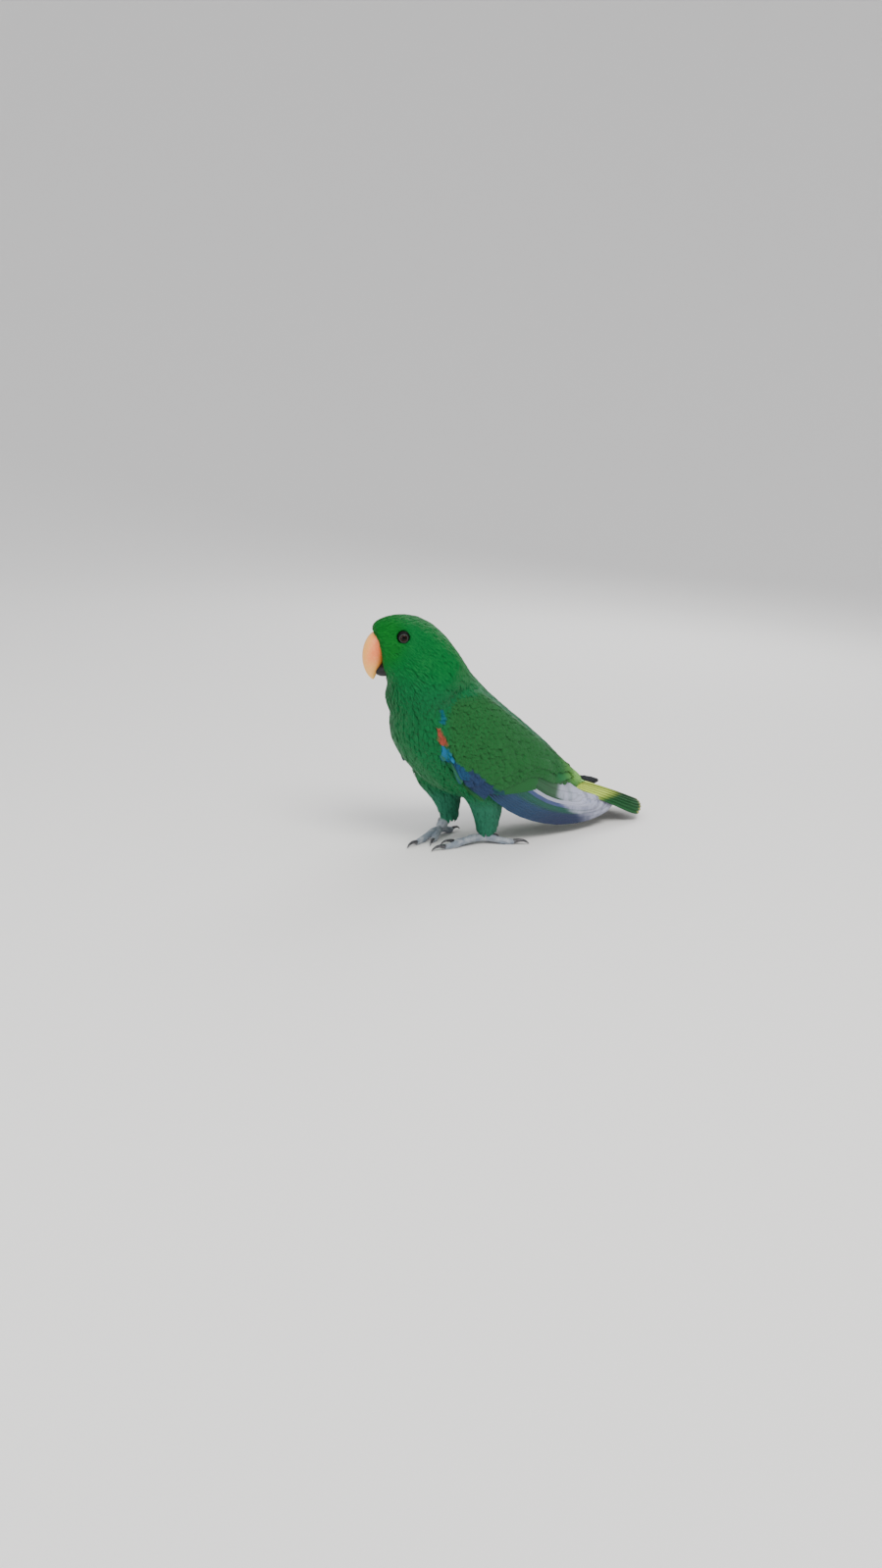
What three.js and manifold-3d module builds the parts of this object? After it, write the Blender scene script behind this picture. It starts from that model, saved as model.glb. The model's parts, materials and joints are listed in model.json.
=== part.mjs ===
// A life-size still model of a male eclectus parrot that stands with its head up, its back sloping down
// to a low tail and its head turned a little to its right. The bird faces -Y, its left side is +X and it
// stands on z = 0. Lengths are millimetres. It is modelled whole and parted with thin cuts.
import * as THREE from 'three';
import { mergeVertices } from 'three/addons/utils/BufferGeometryUtils.js';
import Module from 'manifold-3d';

const wasm = await Module();
wasm.setup();

// Driving dimensions
const GAP = 0.3;
const HEAD_TURN = 30;
const HEAD_FORWARD = 69;
const HEAD_UP = 175.3;
const HEAD_LEFT = -3;
const EYE_RADIUS = 5.2;
const EYE_OUT = 16.6;
const COLUMNS_PER_FEATHER = 3;
const FEATHER_HALF_THICKNESS = 0.8;
const TAIL_FEATHERS = 6;
const TAIL_LENGTH = 119;
const TAIL_STEP = 16;
const TAIL_TIP_ROUND = 5;
const TAIL_ROOT = { forward: -97, up: 49, radius: 14, fanned: 0.7 };
const TAIL_TIP = { forward: -209, up: 13, radius: 28 };
const TAIL_FAN = 56;
const TAIL_BOW = 1.5;
const TARSUS_RADIUS = 4.2;
const TOE_RADIUS = 3.1;
const TOE_HEIGHT = 2.1;
const CLAW_LENGTH = 12.5;

// Colours with roughness and metalness, as the bird shows them
const FINISHES = {
  face: [0x0a7a2c, 0.75],
  neck: [0x14713a, 0.8],
  body: [0x1a6e3a, 0.8],
  wing: [0x2a7838, 0.75],
  flight: [0x26417a, 0.6],
  tail: [0x4f7f2c, 0.7],
  bill: [0xee9a70, 0.4],
  jaw: [0x17181a, 0.45],
  eye: [0x151010, 0.1],
  skin: [0x7d8790, 0.85],
  claw: [0x2b2a2c, 0.5],
};

function at(left, forward, up) {
  return new THREE.Vector3(left, -forward, up);
}

function radians(degrees) {
  return THREE.MathUtils.degToRad(degrees);
}

// A spot of the head, forward of, left of and above the point between the eyes
function headSpot(forward, left, up) {
  const spot = new THREE.Vector3(left, -forward, up);
  spot.applyAxisAngle(new THREE.Vector3(0, 0, 1), radians(-HEAD_TURN));
  return spot.add(at(HEAD_LEFT, HEAD_FORWARD, HEAD_UP));
}

function sideways(turn) {
  return new THREE.Vector3(1, 0, 0).applyAxisAngle(new THREE.Vector3(0, 0, 1), radians(-turn));
}

// Solids from shaped spheres
function signedVolume(geometry) {
  const spots = geometry.attributes.position;
  const index = geometry.index;
  const corner = [new THREE.Vector3(), new THREE.Vector3(), new THREE.Vector3()];
  let sum = 0;
  for (let i = 0; i < index.count; i += 3) {
    corner.forEach((point, k) => point.fromBufferAttribute(spots, index.getX(i + k)));
    sum += corner[0].dot(corner[1].clone().cross(corner[2]));
  }
  return sum / 6;
}

function solid(geometry) {
  geometry.deleteAttribute('normal');
  geometry.deleteAttribute('uv');
  const merged = mergeVertices(geometry, 1e-4);
  const triangles = Array.from(merged.index.array);
  if (signedVolume(merged) < 0) {
    triangles.reverse();
  }
  return new wasm.Manifold(new wasm.Mesh({
    numProp: 3,
    vertProperties: new Float32Array(merged.attributes.position.array),
    triVerts: new Uint32Array(triangles),
  }));
}

// A sphere whose rows run along t = 0 to 1 and whose columns go round by an angle from the top
function shaped(around, along, place) {
  const geometry = new THREE.SphereGeometry(1, around, along);
  const spots = geometry.attributes.position;
  const pole = (t) => place(t, 0).lerp(place(t, Math.PI), 0.5);
  for (let i = 0; i < spots.count; i += 1) {
    const row = Math.floor(i / (around + 1));
    const column = i % (around + 1);
    const t = (1 - Math.cos(Math.PI * row / along)) / 2;
    const angle = 2 * Math.PI * (column % around) / around;
    const spot = row === 0 || row === along ? pole(t) : place(t, angle);
    spots.setXYZ(i, spot.x, spot.y, spot.z);
  }
  return solid(geometry);
}

function roundEnds(t, start, end) {
  const first = t < start ? Math.sqrt(1 - (1 - t / start) ** 2) : 1;
  const last = t > 1 - end ? Math.sqrt(Math.max(0, 1 - (1 - (1 - t) / end) ** 2)) : 1;
  return first * last;
}

function power(value, exponent) {
  return Math.sign(value) * Math.abs(value) ** exponent;
}

// A form is a row of slices, each from a top to a bottom spot with a half width to its turned side
function form(slices) {
  const curve = (pick) => new THREE.CatmullRomCurve3(slices.map(pick));
  return {
    top: curve((slice) => slice.top),
    bottom: curve((slice) => slice.bottom),
    side: curve((slice) => sideways(slice.turn ?? 0).multiplyScalar(slice.half)),
    shape: curve((slice) => new THREE.Vector3(slice.widest ?? 0.5, slice.square ?? 2, 0)),
  };
}

function formSpot(shape, t, angle, grow, ends) {
  const top = shape.top.getPoint(t);
  const bottom = shape.bottom.getPoint(t);
  const side = shape.side.getPoint(t);
  const [widest, square] = shape.shape.getPoint(t).toArray();
  const scale = roundEnds(t, ends[0], ends[1]);
  const centre = bottom.clone().lerp(top, widest);
  const reach = (Math.cos(angle) > 0 ? top : bottom).clone().sub(centre);
  const tall = reach.length() * scale + grow;
  const wide = side.length() * scale + grow;
  const up = reach.normalize().multiplyScalar(tall * Math.abs(power(Math.cos(angle), 2 / square)));
  const out = side.normalize().multiplyScalar(wide * power(Math.sin(angle), 2 / square));
  return centre.add(up).add(out);
}

function sweep(shape, around, along, ends = [0.1, 0.1], grow = 0) {
  return shaped(around, along, (t, angle) => formSpot(shape, t, angle, grow, ends));
}

// Head, neck and trunk: one form from the forehead to the tail root
const FLESH = form([
  { top: headSpot(25.5, 0, 3.5), bottom: headSpot(21.5, 0, -3), half: 7, turn: HEAD_TURN },
  { top: headSpot(22, 0, 8.5), bottom: headSpot(15.5, 0, -15), half: 13, turn: HEAD_TURN },
  { top: headSpot(13.5, 0, 13.5), bottom: headSpot(12.5, 0, -32), half: 18.5, turn: HEAD_TURN },
  { top: headSpot(2, 0, 16.2), bottom: headSpot(8.7, 0, -39), half: 21.5, turn: HEAD_TURN, widest: 0.55 },
  { top: headSpot(-12.5, 0, 15.2), bottom: headSpot(8.7, 0, -46), half: 23.5, turn: HEAD_TURN - 3 },
  { top: headSpot(-28, 0, 7.5), bottom: headSpot(10.5, 0, -53), half: 26, turn: HEAD_TURN - 8 },
  { top: headSpot(-41.5, 0, -6), bottom: at(-1, 74, 112), half: 30.5, turn: 14 },
  { top: at(0, 4, 146), bottom: at(0, 72.5, 101), half: 35.5, turn: 6 },
  { top: at(0, -16, 128), bottom: at(0, 66, 85), half: 38, square: 2.1 },
  { top: at(0, -42, 110.5), bottom: at(0, 50, 66), half: 40, square: 2.15 },
  { top: at(0, -68, 93), bottom: at(0, 29, 49), half: 38, square: 2.1 },
  { top: at(0, -92, 76), bottom: at(0, -2, 36), half: 34 },
  { top: at(0, -112, 60), bottom: at(0, -34, 33), half: 27 },
  { top: at(0, -128, 49), bottom: at(0, -70, 34), half: 20.5 },
  { top: at(0, -142, 41), bottom: at(0, -112, 30), half: 17 },
]);

// The side surface that the folded wing follows, from the shoulder past the wing tip
const WING_FORM = form([
  { top: at(0, 32, 166), bottom: at(0, 84, 92), half: 30 },
  { top: at(0, 2, 148), bottom: at(0, 74, 66), half: 37 },
  { top: at(0, -28, 124), bottom: at(0, 54, 34), half: 43.5 },
  { top: at(0, -62, 99), bottom: at(0, 22, 4), half: 44 },
  { top: at(0, -97, 74), bottom: at(0, -35, -16), half: 38 },
  { top: at(0, -130, 50), bottom: at(0, -90, -28), half: 31 },
  { top: at(0, -165, 31), bottom: at(0, -140, -28), half: 25 },
  { top: at(0, -215, 8), bottom: at(0, -205, -32), half: 20 },
]);

// How each folded wing is held: the far one reaches higher and further back and lies closer to the tail
const WING_HOLD = {
  '1': { raise: 0, reach: 0, tuck: 1 },
  '-1': { raise: 10, reach: 8, tuck: 0.4 },
};

// The slice of the wing form that passes through a spot of the side view, by halving
function sliceAt(forward, up) {
  let low = 0;
  let high = 1;
  for (let i = 0; i < 30; i += 1) {
    const t = (low + high) / 2;
    const top = WING_FORM.top.getPoint(t);
    const bottom = WING_FORM.bottom.getPoint(t);
    const cross = (bottom.y - top.y) * (up - top.z) - (bottom.z - top.z) * (-forward - top.y);
    if (cross > 0) {
      low = t;
    } else {
      high = t;
    }
  }
  return (low + high) / 2;
}

function wingWidth(forward, up) {
  const t = sliceAt(forward, up);
  const top = WING_FORM.top.getPoint(t);
  const bottom = WING_FORM.bottom.getPoint(t);
  const share = (up - bottom.z) / (top.z - bottom.z) * 2 - 1;
  const half = WING_FORM.side.getPoint(t).length();
  return half * Math.sqrt(Math.max(0.04, 1 - share * share));
}

// A spot on the wing's outer surface, lifted along the surface's own slope
function wingSpot(side, forward, up, lift) {
  const step = 0.5;
  const width = wingWidth(forward, up);
  const slopeForward = (wingWidth(forward + step, up) - width) / step;
  const slopeUp = (wingWidth(forward, up + step) - width) / step;
  const normal = new THREE.Vector3(1, slopeForward, -slopeUp).normalize();
  const spot = new THREE.Vector3(width, -forward, up).addScaledVector(normal, lift);
  const hold = WING_HOLD[side];
  const share = THREE.MathUtils.clamp((40 - forward) / 200, 0, 1) ** 2;
  spot.x *= side * THREE.MathUtils.lerp(1, hold.tuck, share);
  spot.y += hold.reach * share;
  spot.z += hold.raise * share;
  return spot;
}

// Bill
const UPPER_BILL = form([
  { top: headSpot(18, 0, 3), bottom: headSpot(3, 0, -8), half: 10, turn: HEAD_TURN },
  { top: headSpot(24.6, 0, -0.5), bottom: headSpot(7.5, 0, -12), half: 9.6, turn: HEAD_TURN },
  { top: headSpot(28.6, 0, -8), bottom: headSpot(10.5, 0, -17), half: 9, turn: HEAD_TURN },
  { top: headSpot(30, 0, -16.5), bottom: headSpot(12.5, 0, -22), half: 8, turn: HEAD_TURN },
  { top: headSpot(28.8, 0, -25.2), bottom: headSpot(14.8, 0, -26.8), half: 6.2, turn: HEAD_TURN },
  { top: headSpot(25, 0, -32.6), bottom: headSpot(17, 0, -31), half: 3.8, turn: HEAD_TURN },
  { top: headSpot(20.3, 0, -37), bottom: headSpot(18.8, 0, -36), half: 0.9, turn: HEAD_TURN },
]);
const LOWER_BILL = form([
  { top: headSpot(2, 0, -19), bottom: headSpot(1, 0, -30), half: 9, turn: HEAD_TURN },
  { top: headSpot(8, 0, -19.5), bottom: headSpot(7, 0, -32.5), half: 9, turn: HEAD_TURN },
  { top: headSpot(13, 0, -22), bottom: headSpot(12, 0, -33.5), half: 8, turn: HEAD_TURN },
  { top: headSpot(17, 0, -25.5), bottom: headSpot(15.5, 0, -33), half: 6, turn: HEAD_TURN },
  { top: headSpot(19.6, 0, -28.8), bottom: headSpot(18.2, 0, -31.4), half: 3.4, turn: HEAD_TURN },
]);

function upperBill(grow) {
  return sweep(UPPER_BILL, 14, 12, [0.06, 0.05], grow);
}

function lowerBill(grow) {
  return sweep(LOWER_BILL, 12, 8, [0.1, 0.12], grow);
}

function ball(radius, centre) {
  const geometry = new THREE.SphereGeometry(radius, 12, 7);
  geometry.translate(centre.x, centre.y, centre.z);
  return solid(geometry);
}

function eyeCentre(side) {
  return headSpot(0, side * EYE_OUT, 0);
}

// Half of space in front of or behind a slice, as a large box
function halfSpace(t, ahead) {
  const reach = 600;
  const top = FLESH.top.getPoint(t);
  const bottom = FLESH.bottom.getPoint(t);
  const up = top.clone().sub(bottom).normalize();
  const side = FLESH.side.getPoint(t).normalize();
  const onward = side.clone().cross(up).normalize();
  const geometry = new THREE.BoxGeometry(reach, reach, reach);
  geometry.translate(0, 0, (ahead ? 1 : -1) * (reach + GAP) / 2);
  const turn = new THREE.Matrix4().makeBasis(side, up, onward);
  turn.setPosition(top.add(bottom).multiplyScalar(0.5));
  geometry.applyMatrix4(turn);
  return solid(geometry);
}

// A row of overlapping feathers as one bent slab: s runs from root to tip, q across the feathers and
// face is 1 outside and -1 inside. Each feather's tip is rounded and steps on from its neighbour's.
function featherSlab(feathers, rows, place) {
  const steps = feathers * COLUMNS_PER_FEATHER;
  const geometry = new THREE.BoxGeometry(1, 1, 1, rows, steps, 1);
  const spots = geometry.attributes.position;
  for (let i = 0; i < spots.count; i += 1) {
    const s = spots.getX(i) + 0.5;
    const column = Math.round((spots.getY(i) + 0.5) * steps);
    const number = Math.min(feathers - 1, Math.floor(column / COLUMNS_PER_FEATHER));
    const across = (column - number * COLUMNS_PER_FEATHER) / COLUMNS_PER_FEATHER * 2 - 1;
    const spot = place(s, number, across, Math.sign(spots.getZ(i)));
    spots.setXYZ(i, spot.x, spot.y, spot.z);
  }
  return solid(geometry);
}

function tipPullBack(across) {
  return Math.abs(across) ** 2.5;
}

// Tail: the feathers lie side by side on an arc that widens towards the tip
function tail(grow = 0) {
  const base = at(0, TAIL_ROOT.forward, TAIL_ROOT.up);
  const slope = at(0, TAIL_TIP.forward, TAIL_TIP.up).sub(base).normalize();
  const up = new THREE.Vector3(1, 0, 0).cross(slope);
  return featherSlab(TAIL_FEATHERS, 4, (s, number, across, face) => {
    const share = (number + (across + 1) / 2) / TAIL_FEATHERS * 2 - 1;
    const middle = (number + 0.5) / TAIL_FEATHERS * 2 - 1;
    const fan = radians(TAIL_FAN + grow) * share * THREE.MathUtils.lerp(TAIL_ROOT.fanned, 1, s);
    const whole = TAIL_LENGTH - TAIL_STEP * middle * middle - TAIL_TIP_ROUND * tipPullBack(across);
    const along = s * (whole + 2 * grow) - grow;
    const radius = THREE.MathUtils.lerp(TAIL_ROOT.radius, TAIL_TIP.radius, Math.sqrt(s));
    const lift = face * (FEATHER_HALF_THICKNESS + grow) + TAIL_BOW * Math.sin(Math.PI * s);
    const spot = base.clone().addScaledVector(slope, along);
    spot.addScaledVector(up, (radius + lift) * Math.cos(fan) - radius);
    return spot.add(new THREE.Vector3((radius + lift) * Math.sin(fan), 0, 0));
  });
}

// Wing: the covert-covered arm is a lens-shaped patch on the wing form, edges given in the side view
const ARM_EDGES = [
  { upper: [55, 119], lower: [54, 108] },
  { upper: [41, 134], lower: [46.5, 91] },
  { upper: [16, 136], lower: [36.5, 67] },
  { upper: [-12, 121], lower: [19, 53] },
  { upper: [-42, 102], lower: [-10, 46] },
  { upper: [-72, 82], lower: [-46, 47] },
  { upper: [-98, 65], lower: [-82, 48] },
  { upper: [-113, 55], lower: [-108, 48] },
];
const ARM_UPPER = new THREE.CatmullRomCurve3(ARM_EDGES.map((edge) => at(0, ...edge.upper)));
const ARM_LOWER = new THREE.CatmullRomCurve3(ARM_EDGES.map((edge) => at(0, ...edge.lower)));
const ARM_OUTER = 2;
const ARM_INNER = { front: 9, rear: 3 };

function armPatch(side, outer, grow) {
  return shaped(14, 13, (t, angle) => {
    const ends = roundEnds(t, 0.1, 0.1);
    const upper = ARM_UPPER.getPoint(t);
    const lower = ARM_LOWER.getPoint(t);
    const middle = upper.clone().add(lower).multiplyScalar(0.5);
    const half = upper.distanceTo(lower) / 2;
    const away = upper.clone().sub(lower).normalize();
    const inner = THREE.MathUtils.lerp(ARM_INNER.front, ARM_INNER.rear, t) * ends;
    const across = power(Math.cos(angle), 0.7) * (half * ends + grow);
    const depth = power(Math.abs(Math.sin(angle)), 0.7);
    const lift = Math.sin(angle) > 0 ? outer * ends : -inner;
    middle.addScaledVector(away, across);
    return wingSpot(side, -middle.y, middle.z, depth * (lift + Math.sign(lift) * grow));
  });
}

// Flight feathers: the outermost and innermost paths in the side view and the line of tips between them
const FLIGHT_OUTER = { root: [12, 55], bend: [-56, 0.5] };
const FLIGHT_INNER = { root: [-20, 82], bend: [-64, 60] };
const FLIGHT_TIPS = [[-152, 14.5], [-166, 17.5], [-171, 22], [-162, 27], [-147, 33], [-131, 39], [-117, 46]];
const FLIGHT_TIP_LINE = new THREE.SplineCurve(FLIGHT_TIPS.map((tip) => new THREE.Vector2(...tip)));
const FLIGHT_FEATHERS = 6;
const FLIGHT_DEPTH = { outer: 3.4, inner: 1.4 };
const FLIGHT_TIP_ROUND = 7;

function between(first, second, share) {
  return new THREE.Vector2(...first).lerp(new THREE.Vector2(...second), share);
}

function flight(side, outer = 0, grow = 0) {
  return featherSlab(FLIGHT_FEATHERS, 5, (s, number, across, face) => {
    const share = (number + (across + 1) / 2) / FLIGHT_FEATHERS;
    const root = between(FLIGHT_OUTER.root, FLIGHT_INNER.root, share * (1 + grow / 20) - grow / 40);
    const bend = between(FLIGHT_OUTER.bend, FLIGHT_INNER.bend, share * (1 + grow / 20) - grow / 40);
    const tip = FLIGHT_TIP_LINE.getPoint(share);
    const onward = tip.clone().sub(bend).normalize();
    tip.addScaledVector(onward, grow - FLIGHT_TIP_ROUND * tipPullBack(across));
    const path = new THREE.QuadraticBezierCurve(root, bend, tip);
    const spot = path.getPoint(s);
    const depth = THREE.MathUtils.lerp(FLIGHT_DEPTH.outer, FLIGHT_DEPTH.inner, share);
    const thick = FEATHER_HALF_THICKNESS + grow + (face > 0 ? outer : 0);
    return wingSpot(side, spot.x, spot.y, face * thick - depth);
  });
}

// Legs
const LEGS = {
  left: {
    side: 1,
    slices: [
      { top: at(20, 34, 62), bottom: at(20, -32, 62), half: 15 },
      { top: at(20, 10, 42), bottom: at(20, -28, 42), half: 14 },
      { top: at(19, 0, 29), bottom: at(19, -29, 29), half: 11.5 },
      { top: at(18, -5, 18), bottom: at(18, -28, 18), half: 9 },
      { top: at(17.5, -8, 9.5), bottom: at(17.5, -24, 9.5), half: 6.5 },
    ],
    ankle: at(17.5, -15, 20),
    foot: at(17, -12, 5.5),
    turn: 6,
  },
  right: {
    side: -1,
    slices: [
      { top: at(-20, 39, 62), bottom: at(-20, -20, 60), half: 15 },
      { top: at(-20, 27, 44), bottom: at(-20, -14, 44), half: 14 },
      { top: at(-18, 16, 33), bottom: at(-18, -14, 33), half: 11.5 },
      { top: at(-16.5, 9, 23), bottom: at(-16.5, -13, 23), half: 9 },
      { top: at(-16, 6, 13.5), bottom: at(-16, -9, 13.5), half: 6.5 },
    ],
    ankle: at(-16, -1, 21),
    foot: at(-16, 6, 5.5),
    turn: -31,
  },
};

function tube(spots, radiusAt, around, along, ends, grow) {
  const curve = new THREE.CatmullRomCurve3(spots);
  return shaped(around, along, (t, angle) => {
    const onward = curve.getTangent(t);
    const side = new THREE.Vector3(0, 0, 1).cross(onward).normalize();
    const up = onward.clone().cross(side).normalize();
    const radius = radiusAt(t) * roundEnds(t, ends[0], ends[1]) + grow;
    const spot = curve.getPoint(t);
    spot.addScaledVector(side, Math.sin(angle) * radius);
    return spot.addScaledVector(up, Math.cos(angle) * radius);
  });
}

function thigh(leg, grow = 0) {
  return sweep(form(leg.slices), 14, 9, [0.02, 0.12], grow);
}

function tarsus(leg, grow = 0) {
  const bent = leg.ankle.clone().lerp(leg.foot, 0.5).add(at(0, -1.5, 0));
  const shin = leg.ankle.clone().add(at(0, 2, 14));
  const spots = [shin, leg.ankle, bent, leg.foot];
  return tube(spots, (t) => TARSUS_RADIUS * (0.92 + 0.2 * t * t), 10, 8, [0.1, 0.22], grow);
}

// Toes with their length without the claw and the way each points, clockwise from above on a left foot
const TOES = [
  { name: 'toe_inner_front', length: 25, turn: 10, claw: 0.85, arch: 1 },
  { name: 'toe_outer_front', length: 40, turn: -8, claw: 1, arch: 1.3 },
  { name: 'toe_outer_hind', length: 30, turn: 202, claw: 1, arch: 1.2 },
  { name: 'toe_inner_hind', length: 17, turn: 160, claw: 0.75, arch: 0.8 },
];

function toeSpot(leg, toe, distance, height) {
  const angle = radians(leg.turn + leg.side * toe.turn);
  return at(leg.foot.x - Math.sin(angle) * distance, -leg.foot.y + Math.cos(angle) * distance, height);
}

function toeBody(leg, toe, grow = 0) {
  const spots = [
    toeSpot(leg, toe, 0, 5.2),
    toeSpot(leg, toe, toe.length * 0.3, 4.2 + toe.arch),
    toeSpot(leg, toe, toe.length * 0.62, TOE_HEIGHT + 0.4 + toe.arch * 0.3),
    toeSpot(leg, toe, toe.length, TOE_HEIGHT),
  ];
  const radiusAt = (t) => TOE_RADIUS * (1.08 - 0.24 * t) * (1 + 0.06 * Math.cos(6 * Math.PI * t));
  return tube(spots, radiusAt, 8, 8, [0.05, 0.12], grow);
}

function claw(leg, toe, grow = 0) {
  const reach = CLAW_LENGTH * toe.claw;
  const spots = [
    toeSpot(leg, toe, toe.length - 3, TOE_HEIGHT + 0.2),
    toeSpot(leg, toe, toe.length + reach * 0.35, TOE_HEIGHT + 1.9),
    toeSpot(leg, toe, toe.length + reach * 0.75, TOE_HEIGHT + 0.9),
    toeSpot(leg, toe, toe.length + reach, 0.35),
  ];
  return tube(spots, (t) => 2.1 * toe.claw * (1 - t) ** 0.8 + 0.25, 6, 6, [0.02, 0.02], grow);
}

function belowFloor() {
  const geometry = new THREE.BoxGeometry(600, 600, 40);
  geometry.translate(0, 0, -20);
  return solid(geometry);
}

// Nodes
const group = new THREE.Group();

function addNode(name, body, finish) {
  const mesh = body.getMesh();
  const geometry = new THREE.BufferGeometry();
  const spots = new Float32Array(mesh.numVert * 3);
  for (let i = 0; i < mesh.numVert; i += 1) {
    for (let k = 0; k < 3; k += 1) {
      spots[i * 3 + k] = mesh.vertProperties[i * mesh.numProp + k];
    }
  }
  geometry.setAttribute('position', new THREE.BufferAttribute(spots, 3));
  geometry.setIndex(Array.from(mesh.triVerts));
  geometry.computeVertexNormals();
  const [color, roughness] = FINISHES[finish];
  const node = new THREE.Mesh(geometry, new THREE.MeshStandardMaterial({ color, roughness, metalness: 0 }));
  node.name = name;
  group.add(node);
}

// Where the whole form is parted, as shares of its length from the forehead
const HEAD_END = 0.395;
const NECK_END = 0.52;
const FLESH_AROUND = 18;
const FLESH_ALONG = 28;
// How far out a folded wing's cut reaches, to leave nothing of the body outside the wing
const CUT_OUT = 30;

function wingCut() {
  const cut = (side) => armPatch(side, CUT_OUT, GAP).add(flight(side, CUT_OUT, 2 * GAP));
  return cut(1).add(cut(-1));
}

function build() {
  const floor = belowFloor();
  const flesh = sweep(FLESH, FLESH_AROUND, FLESH_ALONG, [0.07, 0.06]);
  const fleshGrown = sweep(FLESH, FLESH_AROUND, FLESH_ALONG, [0.07, 0.06], GAP);
  const sides = { left: 1, right: -1 };

  const head = flesh.intersect(halfSpace(HEAD_END, true))
    .subtract(upperBill(GAP)).subtract(lowerBill(GAP))
    .subtract(ball(EYE_RADIUS + GAP, eyeCentre(1))).subtract(ball(EYE_RADIUS + GAP, eyeCentre(-1)));
  addNode('head', head, 'face');
  addNode('upper_mandible', upperBill(0), 'bill');
  addNode('lower_mandible', lowerBill(0).subtract(upperBill(GAP)), 'jaw');
  addNode('eye_left', ball(EYE_RADIUS, eyeCentre(1)), 'eye');
  addNode('eye_right', ball(EYE_RADIUS, eyeCentre(-1)), 'eye');

  for (const [name, side] of Object.entries(sides)) {
    addNode(`wing_${name}`, armPatch(side, ARM_OUTER, 0), 'wing');
    const feathers = flight(side).subtract(armPatch(side, ARM_OUTER, GAP));
    addNode(`flight_feathers_${name}`, feathers, 'flight');
  }
  const wingCutter = wingCut();

  const neck = flesh.intersect(halfSpace(HEAD_END, false)).intersect(halfSpace(NECK_END, true));
  addNode('neck', neck.subtract(wingCutter), 'neck');
  const trunk = flesh.intersect(halfSpace(NECK_END, false)).subtract(wingCutter).subtract(tail(GAP));
  addNode('trunk', trunk, 'body');
  addNode('tail', tail(0).subtract(wingCutter), 'tail');

  for (const [name, leg] of Object.entries(LEGS)) {
    const upper = thigh(leg).subtract(fleshGrown).subtract(wingCutter);
    addNode(`thigh_${name}`, upper.subtract(floor), 'body');
    const shank = tarsus(leg).subtract(thigh(leg, GAP)).subtract(fleshGrown);
    addNode(`tarsus_${name}`, shank.subtract(floor), 'skin');
    let before = tarsus(leg, GAP);
    for (const toe of TOES) {
      const body = toeBody(leg, toe).subtract(before).subtract(thigh(leg, GAP)).subtract(floor);
      before = before.add(toeBody(leg, toe, GAP));
      addNode(`${toe.name}_${name}`, body, 'skin');
      const nail = claw(leg, toe).subtract(toeBody(leg, toe, GAP)).subtract(floor);
      addNode(`${toe.name.replace('toe', 'claw')}_${name}`, nail, 'claw');
    }
  }
}

build();

// The origin is under the middle of the bird's bounding box, on the floor that its toes stand on
const middle = new THREE.Box3().setFromObject(group).getCenter(new THREE.Vector3());
group.position.set(-middle.x, -middle.y, 0);

export default group;
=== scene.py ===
# %% [markdown]
# # A male eclectus parrot as a life-size still model
# The packed model gives the bird's solids: head, neck, trunk, wings, tail, legs, bill and eyes, each at its
# real size. Here they get what makes a bird look alive: one soft skin, thousands of overlapping feathers,
# long flight feathers, a horn bill, wet eyes and scaly feet.

# %% Load the frame
import json
import math
from contextlib import contextmanager
from functools import partialmethod

import bpy
import numpy as np
from mathutils import Matrix, Quaternion, Vector
from mathutils.bvhtree import BVHTree
from mathutils.geometry import barycentric_transform
from mathutils.kdtree import KDTree

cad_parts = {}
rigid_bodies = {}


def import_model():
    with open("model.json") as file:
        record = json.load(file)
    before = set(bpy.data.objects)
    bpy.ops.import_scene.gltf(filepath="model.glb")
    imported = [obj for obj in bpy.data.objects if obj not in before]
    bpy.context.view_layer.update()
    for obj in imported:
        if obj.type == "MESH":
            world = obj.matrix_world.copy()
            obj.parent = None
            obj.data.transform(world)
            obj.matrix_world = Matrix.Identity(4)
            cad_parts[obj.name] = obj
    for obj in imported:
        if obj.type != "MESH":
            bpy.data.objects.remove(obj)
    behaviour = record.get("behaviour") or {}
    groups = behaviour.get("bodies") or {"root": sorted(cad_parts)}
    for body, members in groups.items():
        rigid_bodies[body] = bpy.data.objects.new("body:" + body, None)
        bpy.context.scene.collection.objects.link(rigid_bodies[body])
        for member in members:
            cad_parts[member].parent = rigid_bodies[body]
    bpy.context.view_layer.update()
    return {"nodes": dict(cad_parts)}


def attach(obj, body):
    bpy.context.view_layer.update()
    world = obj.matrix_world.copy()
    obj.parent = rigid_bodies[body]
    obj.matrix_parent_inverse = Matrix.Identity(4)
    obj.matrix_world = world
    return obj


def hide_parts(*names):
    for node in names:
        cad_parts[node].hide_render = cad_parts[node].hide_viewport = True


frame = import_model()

MM = 0.001
dice = np.random.default_rng(7)
print("nodes in the frame:", len(frame["nodes"]))

# %% [markdown]
# ## The camera
# The photograph was taken from the bird's left front, a little above it, with the phone held slightly
# crooked. A camera is placed by the direction it looks back from: an azimuth round the bird, an elevation
# above the floor, and a roll. The focal length is given for a 36 mm sensor along the picture's long side.

# %% Camera
CAMERA_AZIMUTH = 52
CAMERA_ELEVATION = 15
CAMERA_ROLL = 4.5
CAMERA_PLACE = Vector((800.2, -701.3, 321.9)) * MM
FOCAL_LENGTH = 29.27

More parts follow.
